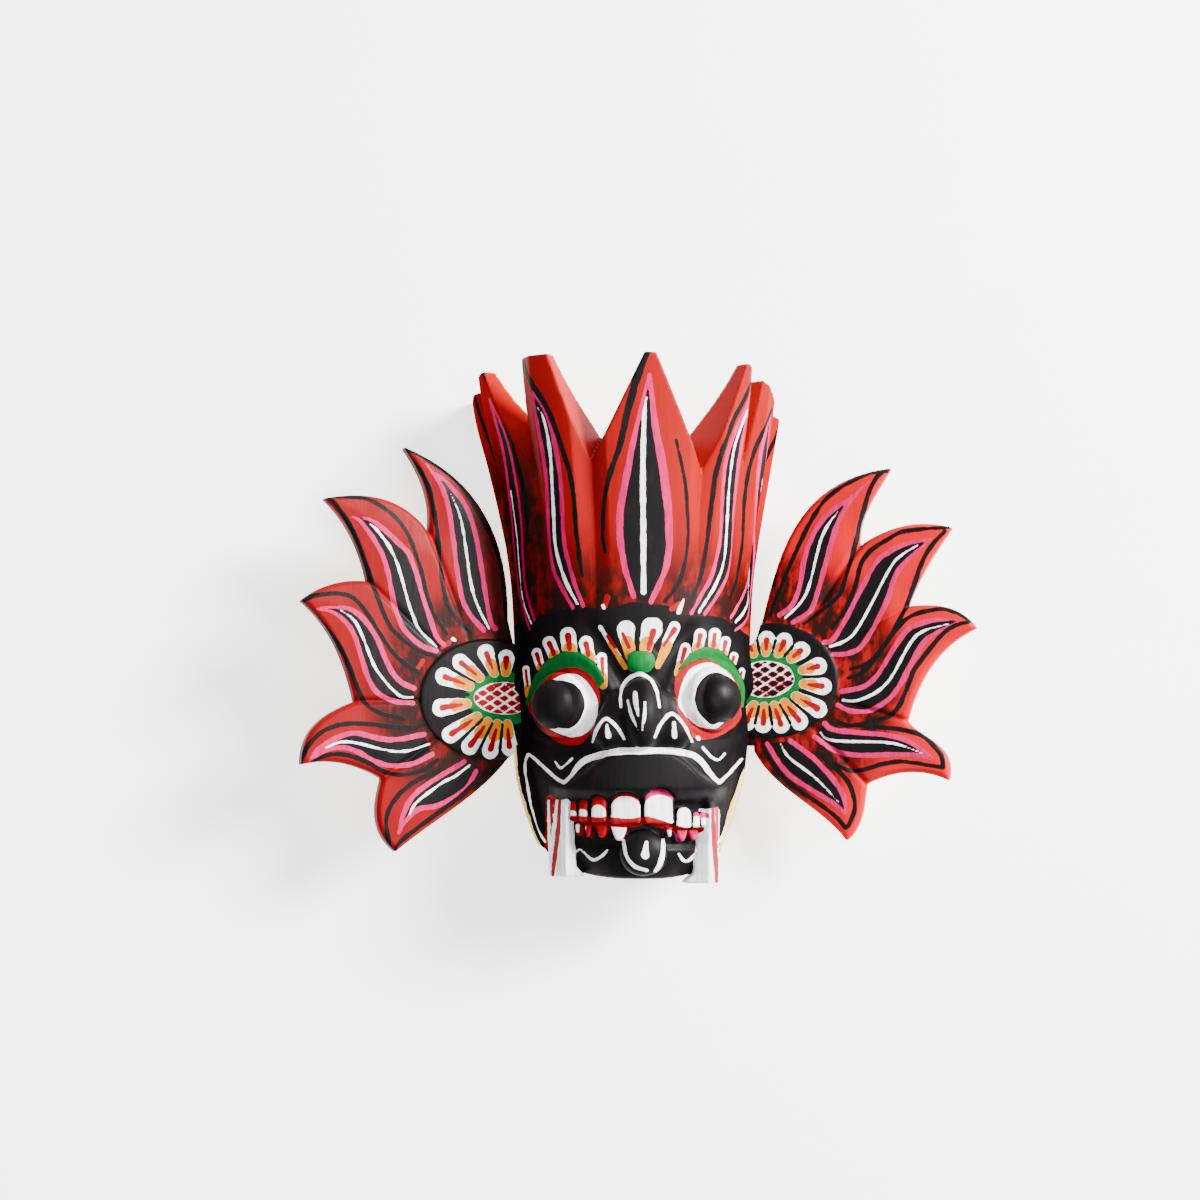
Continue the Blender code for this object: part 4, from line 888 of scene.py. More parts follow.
def sample_grid(field, low, high, step):
    """Field values on a grid that covers the box, in slabs to spare memory."""
    counts = [int(math.ceil((top - bottom) / step)) + 1 for bottom, top in zip(low, high)]
    axes = [bottom + step * np.arange(count) for bottom, count in zip(low, counts)]
    values = np.empty(counts, np.float32)
    slab = 24
    for start in range(0, counts[0], slab):
        x, y, z = np.meshgrid(axes[0][start:start + slab], axes[1], axes[2], indexing="ij")
        values[start:start + slab] = field(x, y, z)
    return values


def wrap_mesh(field, low, high, step):
    """Points and four-sided faces of the field's zero surface."""
    values = sample_grid(field, low, high, step)
    inside = values < 0.0
    cells = tuple(size - 1 for size in values.shape)

    def corner(array, a, b, c):
        return array[a:a + cells[0], b:b + cells[1], c:c + cells[2]]

    corners = [(a, b, c) for a in (0, 1) for b in (0, 1) for c in (0, 1)]
    count = sum(corner(inside, *spot).astype(np.int8) for spot in corners)
    mixed = (count > 0) & (count < 8)
    number = np.full(cells, -1, np.int64)
    number[mixed] = np.arange(int(mixed.sum()))
    where = np.argwhere(mixed)
    total = np.zeros((len(where), 3))
    crossings = np.zeros(len(where))
    at_corner = {spot: corner(values, *spot)[mixed] for spot in corners}
    for spot in corners:
        for axis in range(3):
            if spot[axis]:
                continue
            other = tuple(1 if index == axis else part for index, part in enumerate(spot))
            first, second = at_corner[spot], at_corner[other]
            crossed = (first < 0.0) != (second < 0.0)
            part = np.where(crossed, first / np.where(crossed, first - second, 1.0), 0.0)
            crossing = np.array(spot, float)[None, :].repeat(len(where), 0)
            crossing[:, axis] += part
            total += crossing * crossed[:, None]
            crossings += crossed
    points = (where + total / crossings[:, None]) * step + np.array(low)
    faces = []
    for axis in range(3):
        b, c = (axis + 1) % 3, (axis + 2) % 3
        span = [slice(1, -1)] * 3
        span[axis] = slice(0, -1)
        near = inside[tuple(span)]
        span[axis] = slice(1, None)
        far = inside[tuple(span)]
        edges = np.argwhere(near != far)
        opens = near[tuple(edges.T)]
        offset = np.ones(3, int)
        offset[axis] = 0
        base = edges + offset
        quad = []
        for back_b, back_c in ((1, 1), (0, 1), (0, 0), (1, 0)):
            cell = base.copy()
            cell[:, b] -= back_b
            cell[:, c] -= back_c
            quad.append(number[tuple(cell.T)])
        quad = np.stack(quad, axis=1)
        quad[~opens] = quad[~opens][:, ::-1]
        faces.append(quad)
    return points, np.vstack(faces)


def settle(points, field, step, rounds=3):
    """Move mesh points onto the exact surface."""
    probe = 0.08
    for _ in range(rounds):
        value = field(*points.T)
        slope = np.empty_like(points)
        for axis in range(3):
            ahead, behind = points.copy(), points.copy()
            ahead[:, axis] += probe
            behind[:, axis] -= probe
            slope[:, axis] = (field(*ahead.T) - field(*behind.T)) / (2.0 * probe)
        move = slope * (value / np.maximum((slope ** 2).sum(axis=1), 0.2))[:, None]
        length = np.linalg.norm(move, axis=1)
        limit = np.minimum(1.0, 0.4 * step / np.maximum(length, 1e-9))
        points = points - move * limit[:, None]
    return points


# laying paint: each layer keeps a distance in millimetres for every mesh point, negative under it

def smooth_line(points, steps=8):
    """Smooth line through the given points; further columns, such as widths, follow along."""
    points = np.array(points, float)
    if len(points) < 3:
        part = np.linspace(0.0, 1.0, steps + 1)[:, None]
        return points[0] + (points[-1] - points[0]) * part
    before = np.vstack([points[:1], points[:-2]])
    after = np.vstack([points[2:], points[-1:]])
    pieces = []
    for start, end, near, far in zip(points[:-1], points[1:], before, after):
        part = (np.arange(steps) / steps)[:, None]
        pieces.append(0.5 * (2 * start + (end - near) * part
                             + (2 * near - 5 * start + 4 * end - far) * part ** 2
                             + (3 * start - near - 3 * end + far) * part ** 3))
    pieces.append(points[-1:])
    return np.vstack(pieces)


def closed_line(points, steps=6):
    """Smooth closed line through its corners."""
    points = list(points)
    ring = smooth_line(points[-2:] + points + points[:2], steps)
    return ring[2 * steps:-2 * steps]


def flat(points):
    """Points used as they are drawn."""
    return points


class Painting:
    """Layers of paint over the points of one surface."""

    def __init__(self, count):
        self.layers = {name: np.full(count, UNPAINTED) for name in LAYERS}
        self.washes = {name: np.zeros(count) for name in WASHES}

    def face(self, across, upward, allowed, bend=flat):
        """Take up a drawing plane: where each mesh point falls on it, and which it may paint."""
        self.across, self.upward = across, upward
        self.reachable = np.flatnonzero(allowed)
        self.bend = bend

    def under(self, line, margin):
        """Mesh points near a line, with their places."""
        low, high = line.min(axis=0) - margin, line.max(axis=0) + margin
        across, upward = self.across[self.reachable], self.upward[self.reachable]
        near = ((across > low[0]) & (across < high[0]) & (upward > low[1]) & (upward < high[1]))
        return self.reachable[near], across[near], upward[near]

    def lay(self, layer, which, gap):
        """Add a shape to a layer, by its distance at the given mesh points."""
        kept = self.layers[layer]
        kept[which] = np.minimum(kept[which], gap)

    def stroke(self, layer, points, width=None, start=1.0, end=1.0):
        """Brush line; its width may be the third number of a point, and start and end thin it."""
        line = smooth_line(points)
        half = np.full(len(line), 0.5 * width) if width else 0.5 * line[:, 2]
        part = np.linspace(0.0, 1.0, len(line))
        half = half * (start + (1.0 - start) * ease(part / 0.3))
        half = half * (end + (1.0 - end) * ease((1.0 - part) / 0.3))
        line = self.bend(line[:, :2])
        which, across, upward = self.under(line, 3.0)
        gap = np.full(len(which), UNPAINTED)
        for place, onward, wide, later in zip(line[:-1], line[1:], half[:-1], half[1:]):
            run, rise = onward - place
            along_it = ((across - place[0]) * run + (upward - place[1]) * rise)
            part = np.clip(along_it / max(run ** 2 + rise ** 2, 1e-9), 0.0, 1.0)
            reach = np.hypot(across - place[0] - run * part, upward - place[1] - rise * part)
            gap = np.minimum(gap, reach - wide - (later - wide) * part)
        self.lay(layer, which, gap)

    def fill(self, layer, outline, hole=None):
        """Paint inside a smooth closed outline, and outside the hole."""
        line = self.bend(closed_line(outline))
        which, across, upward = self.under(line, 3.0)
        gap = outline_distance(across, upward, line)
        if hole is not None:
            gap = np.maximum(gap, -outline_distance(across, upward, self.bend(closed_line(hole))))
        self.lay(layer, which, gap)

    def lens(self, layer, first, second):
        """Paint between two lines that start and end together."""
        line = np.vstack([smooth_line(first), smooth_line(second)[::-1]])
        line = self.bend(line[:, :2])
        which, across, upward = self.under(line, 3.0)
        self.lay(layer, which, outline_distance(across, upward, line))

    def cover(self, hidden, top):
        """Take the hidden layers away wherever the top one lies."""
        for layer in hidden:
            self.layers[layer] = np.maximum(self.layers[layer], -self.layers[top])

    def marks(self):
        """Attribute values by name."""
        return {**self.layers, **self.washes}


def paint_flame(painting, flame):
    """A carved flame: black heart between two pink lines, a white line, two thin outlines."""
    middle, near, far, near_edge, far_edge = flame
    painting.lens("black", near, far)
    for edge in (near_edge, far_edge):
        painting.stroke("ink", edge, OUTLINE_WIDTH, 0.8, 0.8)
    for edge in (near, far):
        painting.stroke("pink", edge, PINK_WIDTH, 1.0, 0.45)
    painting.stroke("light", middle, WHITE_WIDTH, 0.9, 0.6)


def paint_lash(painting, foot, tip, width):
    """White lash with a red line down its middle."""
    foot, tip = np.array(foot), np.array(tip)
    onward = (tip - foot) / np.linalg.norm(tip - foot)
    end = tip - onward * width / 2.0
    foot = foot - onward
    painting.stroke("white", ((*foot, width * 0.95), (*end, width * 1.08)))
    painting.stroke("orange", ((*foot, width * 0.9), (*(foot + (end - foot) * 0.32), width * 0.9)))
    painting.stroke("scarlet", ((*(foot + (end - foot) * 0.35), width * 0.34),
                                (*(foot + (end - foot) * 0.95), width * 0.46)))


def drawn(x, y, z):
    """Where points fall on the flat drawing that the face is painted from."""
    yaw, pitch = math.radians(VIEW_YAW), math.radians(VIEW_PITCH)
    back = np.array((-math.sin(yaw) * math.cos(pitch), -math.sin(pitch),
                     math.cos(yaw) * math.cos(pitch)))
    upward = np.array((0.0, 1.0, 0.0)) - back * back[1]
    upward /= np.linalg.norm(upward)
    right = np.cross(upward, back)
    offset = np.stack([x, y, z], axis=1) - np.array(VIEW_AIM)
    spread = VIEW_DISTANCE / (VIEW_DISTANCE - offset @ back)
    return offset @ right * spread + DRAWN_SHIFT[0], offset @ upward * spread + DRAWN_SHIFT[1]


def crown_bend(points):
    """From (angle round the crown, height) to millimetres laid out flat."""
    radius = (along(HALF_WIDTH, points[:, 1]) + along(FRONT_DEPTH, points[:, 1]) - SIDE_DEPTH) / 2.0
    return np.stack([np.radians(points[:, 0]) * radius, points[:, 1]], axis=1)


def paint_head(x, y, z):
    """All the paint of the head."""
    painting = Painting(len(x))
    outside, angle = shell(x, y, z)
    inside_depth = -shell(x, y, np.maximum(z, -2.0), along(WALL, y))[0]
    skin = outside - relief(x, y, np.where(z > SIDE_DEPTH, angle, np.sign(x) * 90.0)) > -0.5
    front = z > 7.5

    # bare wood: the hollow, the back rim and the strips beside the jaw
    rim = ease((1.4 - z) / 1.0)
    hollow = ease((1.0 - np.abs(inside_depth)) / 0.4) * (y > CHIN_WALL - 1.0) * (z < 44.0)
    strip = JAW_STRIP_RIGHT - JAW_CORNER_SLOPE * np.abs(y - JAW_CORNER_Y)
    jaw = ease((np.where(x > 0.0, strip, JAW_STRIP_LEFT) - z) / 2.5)
    jaw = jaw * ease((np.where(x > 0.0, 35.0, 47.0) - y) / 4.0) * ease((y - 8.0) / 4.0)
    under = ease((9.0 - z) / 4.0) * ease((12.0 - y) / 3.0)
    painting.washes["bare"] = np.maximum.reduce([rim, hollow, jaw, under])
    painting.washes["cut"] = np.where(skin | (y < 112.0), 0.0, 1.0)
    # darker paint on the crown: a brown wash across the flame roots, and painted shade over the crown's
    # left side, which is turned away from the light; the far right side is also darkened low down
    wash_and_shade = ease((103.0 - y) / 22.0) * ease((y - 72.0) / 3.0)
    left_side_shade = ease((-angle - 32.0) / 22.0) * ease((146.0 - y) / 42.0)
    right_side = ease((angle - 66.0) / 12.0) * ease((112.0 - y) / 24.0)
    painting.washes["wash_and_shade"] = np.maximum(wash_and_shade, np.maximum(left_side_shade, right_side * 0.7))

    flat_out = crown_bend(np.stack([angle, y], axis=1))
    painting.lay("black", np.flatnonzero(y < 90.0), (y - along(BLACK_EDGE, angle))[y < 90.0])
    painting.face(flat_out[:, 0], flat_out[:, 1], skin & (y > 65.0) & (z > 3.0), crown_bend)
    for layer, points in CROWN_LINES:
        painting.stroke(layer, points)
    for first, second, middle in CROWN_FLAMES:
        painting.lens("black", first, second)
        painting.stroke("pink", first)
        painting.stroke("pink", second)
        painting.stroke("light", middle)

    across, upward = drawn(x, y, z)
    seen = front & (y < 82.0) & (angle > -86.0) & (angle < 86.0)
    for side_way, top, foot, foot_height in TUSKS:
        part = np.clip((TUSK_TOP - y) / (TUSK_TOP - foot_height), 0.0, 1.0)
        outer = top[0] + (foot[0] - top[0]) * part
        seen &= ~((y < TUSK_TOP) & (z > 14.0) & (side_way * x > outer - 0.25)
                  & (tusk_field(x, y, z, side_way, top, foot, foot_height) < 0.3))
    painting.face(across, upward, seen)
    for pupil, white, rim_line, green in (LEFT_EYE, RIGHT_EYE):
        painting.fill("ink", pupil)
        painting.fill("white", white)
        painting.fill("scarlet", rim_line, white)
        painting.fill("green", green, rim_line)
    for lash in LEFT_LASHES + RIGHT_LASHES:
        paint_lash(painting, *lash)
    painting.fill("green", BROW_FAN)
    for petal in FAN_PETALS:
        for layer, points in petal:
            painting.stroke(layer, points)
    painting.cover(("white", "orange", "scarlet"), "green")
    for layer, points in FACE_LINES:
        painting.stroke(layer, points)

    # pupils, teeth and tusks are painted to their carved edges
    for eye_x, eye_y in zip(EYE_X, EYE_Y):
        near = np.flatnonzero((np.hypot(x - eye_x, y - eye_y) < 14.0) & front)
        spot = local(on_shell(eye_x, eye_y, PUPIL_LIFT), x[near], y[near], z[near])
        dome = egg(spot, (PUPIL_RADIUS, PUPIL_RADIUS, PUPIL_RISE))
        painting.lay("ink", near, dome - 0.2)
    near = np.flatnonzero((y < 27.0) & (z > 14.0))
    spot = (x[near], y[near], z[near])
    for tooth, made in zip(TOOTH_FRAMES, UPPER_TEETH + LOWER_TEETH):
        gum, reach = made[4:]
        shape = tooth_plan(tooth, *spot)
        painting.lay("white", near, shape)
        point, sideways, upright, normal = tooth[0]
        away = -reach if made in UPPER_TEETH else reach
        shifted = ((point + upright * away, sideways, upright, normal),) + tooth[1:]
        painting.lay(gum, near, np.maximum(shape, -tooth_plan(shifted, *spot)))
    for (side_way, top, foot, foot_height), paint_top in zip(TUSKS, TUSK_PAINT_TOP):
        picked = near[side_way * x[near] > 12.0]
        tusk = tusk_field(x[picked], y[picked], z[picked], side_way, top, foot, foot_height)
        painting.lay("white", picked, np.maximum(tusk - 0.3, y[picked] - paint_top))
    return painting.marks()


def net_cells(across, upward):
    """Distance outside the diamonds between the lattice's lines, in rows of half a cell."""
    wide, tall = NET_CELL
    row = np.floor(upward / (tall / 2.0))
    cells = np.full(len(across), UNPAINTED)
    for step in (0.0, 1.0):
        line = (row + step) * tall / 2.0
        offset = np.where((row + step) % 2 == 0, 0.0, wide / 2.0)
        over = (across - offset + wide / 2.0) % wide - wide / 2.0
        inside = np.abs(over) / wide * 2.0 + np.abs(upward - line) / tall * 2.0
        cells = np.minimum(cells, (inside - 1.0) * NET_SLOPE + NET_LINE)
    return cells


def paint_wing(wing, u, v, w, flames, petals, ring, patches):
    """All the paint of one wing, in its own plane."""
    painting = Painting(len(u))
    place, height, wide, tall = wing.disc
    front = w > 0.0
    painting.washes["bare"] = ease((-w - WING_THICKNESS / 2.0 + 0.7) / 0.5)
    around = egg((u - place, v - height), (wide, tall))
    reach, fade = LEFT_WASH if wing.side < 0.0 else RIGHT_WASH
    wash = ease((reach - around) / fade)
    if wing.side < 0.0:
        # the first flame's inner side, beside the head, is darkened as well
        inner = ease((9.4 + (v - 73.0) * 0.28 - u) / 4.0) * ease((122.0 - v) / 20.0)
        inner = inner * (v > 66.0)
        wash = np.maximum(wash, 0.8 * inner)
    painting.washes["wash_and_shade"] = np.where(front, wash, 0.0)
    painting.face(u, v, front)
    painting.lay("black", np.flatnonzero(front), around[front] + 0.2)
    for flame in flames:
        paint_flame(painting, flame)
    centre, radii, net_radii = np.array(ring[0]), ring[1], ring[2]
    feet = []
    for tip in petals:
        tip = np.array(tip)
        onward = tip - centre
        foot = centre + onward / math.hypot(onward[0] / radii[0], onward[1] / radii[1])
        end = tip - onward / np.linalg.norm(onward) * 2.2
        middle = foot + (end - foot) * 0.45
        feet.append((foot, end))
        painting.stroke("white", ((*foot, 3.0), (*middle, 4.2), (*end, 5.2)))
        painting.stroke("orange", ((*foot, 2.7), (*middle, 3.5)))
        red_foot, red_end = foot + (end - foot) * 0.2, foot + (end - foot) * 0.95
        painting.stroke("scarlet", ((*red_foot, 0.8), (*red_end, 1.9)))
    for (foot, end), (next_foot, next_end) in zip(feet[:-1], feet[1:]):
        inward, outward = (foot + next_foot) / 2.0, (end + next_end) / 2.0
        painting.stroke("ink", ((*inward, 0.7), (*outward, 1.0)))
    for layer, points in patches:
        painting.stroke(layer, points)
    painted = np.flatnonzero(front)
    painting.lay("green", painted, egg((u - centre[0], v - centre[1]), radii)[front])
    net = egg((u - centre[0], v - centre[1]), net_radii)
    painting.lay("white", painted, net[front])
    cells = net_cells(u - centre[0], v - centre[1])
    painting.lay("scarlet", painted, np.maximum(cells, net + 0.2)[front])
    if wing.side > 0.0:
        painting.lay("ink", painted, np.maximum(cells + 0.25, net + 0.3)[front])
    return painting.marks()


def thin_hollow(mesh, plain, share):
    """Merge the mesh's points where nothing is carved or painted finely."""
    piece = bpy.data.objects.new("thinned", mesh)
    bpy.context.scene.collection.objects.link(piece)
    piece.vertex_groups.new(name="plain").add(np.flatnonzero(plain).tolist(), 1.0, "REPLACE")
    modifier = piece.modifiers.new("thinned", "DECIMATE")
    modifier.ratio = share
    modifier.vertex_group = "plain"
    modifier.use_collapse_triangulate = True
    shape = piece.evaluated_get(bpy.context.evaluated_depsgraph_get())
    thinned = bpy.data.meshes.new_from_object(shape)
    bpy.data.objects.remove(piece)
    bpy.data.meshes.remove(mesh)
    return thinned


def add_piece(name, points, faces, marks, material, node, plain=None):
    """Mesh object in the row's place, with its painted marks."""
    mesh = bpy.data.meshes.new(name)
    mesh.vertices.add(len(points))
    mesh.vertices.foreach_set("co", ((points + np.array(ROW_SHIFT)) * MM).ravel())
    mesh.loops.add(faces.size)
    mesh.loops.foreach_set("vertex_index", faces.ravel())
    mesh.polygons.add(len(faces))
    mesh.polygons.foreach_set("loop_start", np.arange(0, faces.size, 4))
    mesh.update(calc_edges=True)
    mesh.validate()
    mesh.shade_smooth()
    for layer, values in marks.items():
        laid = mesh.attributes.new(layer, "FLOAT", "POINT")
        laid.data.foreach_set("value", values.astype(np.float32))
    if plain is not None:
        mesh = thin_hollow(mesh, plain, 1.0 - 0.92 * float(plain.mean()))
        mesh.shade_smooth()
    mesh.materials.append(material)
    piece = bpy.data.objects.new(name, mesh)
    bpy.context.scene.collection.objects.link(piece)
    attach(piece, "root")
    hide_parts(node)
    return piece


# finishes

def put(tree, kind, sockets=None, **options):
    """Add a node; each socket takes a value or another node's output."""
    made = tree.nodes.new(kind)
    for name, value in options.items():
        setattr(made, name, value)
    for name, value in (sockets or {}).items():
        if isinstance(value, bpy.types.NodeSocket):
            tree.links.new(value, made.inputs[name])
        else:
            made.inputs[name].default_value = value
    return made


def noise(tree, place, stretch, detail=3.0):
    """Noise from 0 to 1, with its scale along each axis per metre."""
    scaled = put(tree, "ShaderNodeMapping", {"Vector": place, "Scale": stretch}, vector_type="POINT")
    return put(tree, "ShaderNodeTexNoise", {"Vector": scaled.outputs[0], "Scale": 1.0,
                                            "Detail": detail, "Roughness": 0.55}).outputs[0]


def remap(tree, value, low, high, to_low=0.0, to_high=1.0):
    """Smooth step between two values."""
    return put(tree, "ShaderNodeMapRange", {"Value": value, "From Min": low, "From Max": high,
                                            "To Min": to_low, "To Max": to_high},
               interpolation_type="SMOOTHSTEP").outputs[0]


def sums(tree, operation, first, second, third=0.0):
    """Arithmetic on two or three values."""
    values = {0: first, 1: second, 2: third}
    return put(tree, "ShaderNodeMath", values, operation=operation).outputs[0]


def blend(tree, amount, first, second):
    """Mix two colours."""
    return put(tree, "ShaderNodeMix", {0: amount, 6: first, 7: second}, data_type="RGBA").outputs[2]


def mark(tree, name):
    """What was laid on the mesh under this name."""
    return put(tree, "ShaderNodeAttribute", attribute_name=name).outputs["Fac"]


def finished(name):
    """New material with its node tree, its shader and the object's own coordinates."""
    material = bpy.data.materials.new(name)
    material.use_nodes = True
    tree = material.node_tree
    place = put(tree, "ShaderNodeTexCoord").outputs["Object"]
    return material, tree, tree.nodes["Principled BSDF"], place


def bare_wood(tree, place):
    """Pale carving wood with grain up the face, as colour and height."""
    grain = noise(tree, place, (420.0, 26.0, 420.0), 4.0)
    patches = noise(tree, place, (60.0, 25.0, 60.0))
    wood = colour("bare_wood")
    darker = tuple(part * shade for part, shade in zip(wood[:3], (0.72, 0.62, 0.45))) + (1.0,)
    shade = blend(tree, remap(tree, grain, 0.35, 0.7), wood, darker)
    shade = blend(tree, remap(tree, patches, 0.45, 0.75, 0.0, 0.4), shade, darker)
    return shade, grain


def shaded(tint, share, lift=0.0):
    """A colour made darker or lighter."""
    return tuple(min(1.0, part * share + lift) for part in tint[:3]) + (1.0,)


def painted_wood(name, red, matt_below=0.008):
    """Carved wood under red paint, every laid colour over it; it has no gloss low down."""
    material, tree, shader, place = finished(name)
    streaks = noise(tree, place, (950.0, 110.0, 950.0), 3.0)
    broad = noise(tree, place, (70.0, 30.0, 70.0), 2.0)
    fine = noise(tree, place, (1500.0, 1500.0, 1500.0), 2.0)
    wander = sums(tree, "SUBTRACT", noise(tree, place, (260.0, 260.0, 260.0), 2.0), 0.5)
    flecks = sums(tree, "SUBTRACT", fine, 0.5)
    shift = sums(tree, "MULTIPLY_ADD", wander, 0.7, sums(tree, "MULTIPLY", flecks, 0.14))

    shade = blend(tree, remap(tree, broad, 0.45, 0.8, 0.0, 0.55), red, shaded(red, 0.55))
    # the cut faces of the crown's notches are painted a lighter copy of the red
    cut_face_red = shaded(red, 1.25, 0.002)
    shade = blend(tree, sums(tree, "MULTIPLY", mark(tree, "cut"), 0.8), shade, cut_face_red)
    smudges = noise(tree, place, (230.0, 150.0, 230.0), 4.0)
    smears = sums(tree, "MULTIPLY_ADD", streaks, 0.25, sums(tree, "MULTIPLY", smudges, 0.75))
    # the brown wash at the flame roots, and the painted shade on the crown's left side, darken the red
    # here
    wash_and_shade_cover = sums(tree, "MULTIPLY", mark(tree, "wash_and_shade"), remap(tree, smears, 0.36, 0.54, 0.45, 1.0))
    shade = blend(tree, wash_and_shade_cover, shade, colour("wash_and_shade"))

    thickness = None
    for layer in LAYERS:
        gap = sums(tree, "ADD", mark(tree, layer), shift)
        inset = LAYER_INSET.get(layer, 0.0)
        cover = remap(tree, gap, -EDGE_SOFTNESS - inset, EDGE_SOFTNESS - inset, 1.0, 0.0)
        tint = colour(LAYER_PAINT.get(layer, layer))
        if layer in ("white", "light", "pink", "orange"):
            thin = shaded(tint, 0.68)
            tint = blend(tree, remap(tree, streaks, 0.35, 0.62, 0.75, 0.0), tint, thin)
        elif layer in ("black", "ink"):
            rusty = (tint[0] * 2.2 + 0.004, tint[1] * 1.5, tint[2] * 1.4, 1.0)
            tint = blend(tree, remap(tree, smears, 0.52, 0.68, 0.0, 0.7), tint, rusty)
        else:
            thin = shaded(tint, 0.6)
            tint = blend(tree, remap(tree, streaks, 0.4, 0.65, 0.45, 0.0), tint, thin)
        shade = blend(tree, cover, shade, tint)
        thickness = cover if thickness is None else sums(tree, "MAXIMUM", thickness, cover)
    wood, grain = bare_wood(tree, place)
    bared = remap(tree, sums(tree, "MULTIPLY_ADD", wander, 0.9, mark(tree, "bare")), 0.4, 0.6)
    shade = blend(tree, bared, shade, wood)
    tree.links.new(shade, shader.inputs["Base Color"])

    gloss = remap(tree, sums(tree, "MULTIPLY_ADD", streaks, 0.6, broad), 0.5, 1.1, 0.36, 0.58)
    rough = put(tree, "ShaderNodeMix", {0: bared, 2: gloss, 3: 0.72}, data_type="FLOAT").outputs[0]
    tree.links.new(rough, shader.inputs["Roughness"])
    height = sums(tree, "MULTIPLY_ADD", streaks, 0.7, sums(tree, "MULTIPLY", fine, 0.35))
    height = sums(tree, "MULTIPLY_ADD", thickness, 0.45, height)
    height = sums(tree, "MULTIPLY_ADD", sums(tree, "MULTIPLY", grain, bared), 0.8, height)
    lift = put(tree, "ShaderNodeBump", {"Height": height, "Strength": 0.55, "Distance": 0.00014})
    tree.links.new(lift.outputs[0], shader.inputs["Normal"])
    heights = put(tree, "ShaderNodeSeparateXYZ", {"Vector": place}).outputs["Z"]
    gleam = remap(tree, heights, matt_below, matt_below + GLOSS_FADE, 0.0, LOW_GLOSS)
    tree.links.new(gleam, shader.inputs["Specular IOR Level"])
    return material


def table_paper():
    """Pale matt table top."""
    material, tree, shader, place = finished("table_paper")
    cloud = noise(tree, place, (5.0, 9.0, 5.0), 3.0)
    shade = blend(tree, remap(tree, cloud, 0.3, 0.7), (0.86, 0.87, 0.9, 1.0), (0.9, 0.9, 0.91, 1.0))
    tree.links.new(shade, shader.inputs["Base Color"])
    shader.inputs["Roughness"].default_value = 0.85
    shader.inputs["Emission Color"].default_value = ROOM_LIGHT
    shader.inputs["Emission Strength"].default_value = TABLE_GLOW
    return material


def paint_property(label, meaning, tint):
    """A paint's colour as a setting."""
    return FloatVectorProperty(name=label, description=meaning, default=tint, size=3,
                               min=0.0, max=1.0, subtype="COLOR")


def colour(name):
    """A paint from the settings, as a shader colour."""
    return tuple(getattr(settings(), name)) + (1.0,)


class RakshaMaskSettings(bpy.types.PropertyGroup):
    """How finely the mask is carved, and its paints."""

    head_grain: FloatProperty(
        name="Head grain", description="Spacing of the head's mesh points",
        default=0.000585, min=0.0004, max=0.003, subtype="DISTANCE", unit="LENGTH")
    wing_grain: FloatProperty(
        name="Wing grain", description="Spacing of the wings' mesh points",
        default=0.00046, min=0.0003, max=0.003, subtype="DISTANCE", unit="LENGTH")
    head_red: paint_property(
        "Head red", "Red ground of the head and crown", (0.23, 0.0020, 0.0018))
    # the left wing's red is darker and the right wing's lighter: painted shade and painted light that
    # make the right wing look more lit than the left
    left_wing_shaded_red: paint_property(
        "Left wing red", "Red ground of the left wing", (0.17, 0.0008, 0.0024))
    right_wing_lit_red: paint_property(
        "Right wing red", "Red ground of the right wing", (0.44, 0.0012, 0.0050))
    black: paint_property(
        "Black", "Face ground, hearts and outlines", (0.0035, 0.0030, 0.0034))
    white: paint_property(
        "White", "Teeth, eyes and brush lines", (0.93, 0.93, 0.94))
    pink: paint_property(
        "Pink", "Flame lines", (0.46, 0.0010, 0.082))
    green: paint_property(
        "Green", "Brows and rings", (0.0008, 0.11, 0.018))
    orange: paint_property(
        "Orange", "Petal feet", (0.60, 0.20, 0.0012))
    scarlet: paint_property(
        "Scarlet", "Lips, eye rims and petal lines", (0.26, 0.0003, 0.0040))
    # colour of the brown wash, also used as painted shade on the crown's left side
    wash_and_shade: paint_property(
        "Brown wash", "Thin dark wash at the flame roots", (0.014, 0.0030, 0.0018))
    bare_wood: paint_property(
        "Bare wood", "Unpainted back, hollow and jaw sides", (0.78, 0.60, 0.22))


def settings():
    """The scene's own settings."""
    return bpy.context.scene.raksha_mask


class RAKSHA_OT_head(bpy.types.Operator):
    """Carve and paint the head"""

    bl_idname = "raksha.head"
    bl_label = "Head"

    def execute(self, context):
        step = settings().head_grain / MM * 1.0
        points, faces = wrap_mesh(head_field, *HEAD_BOX, step)
        points = settle(points, head_field, step)
        marks = paint_head(*points.T)
        add_piece("painted_head_block", points, faces, marks,
                  painted_wood("head_paint", colour("head_red"), 0.022), "head",
                  marks["bare"] > 0.5)
        return {"FINISHED"}


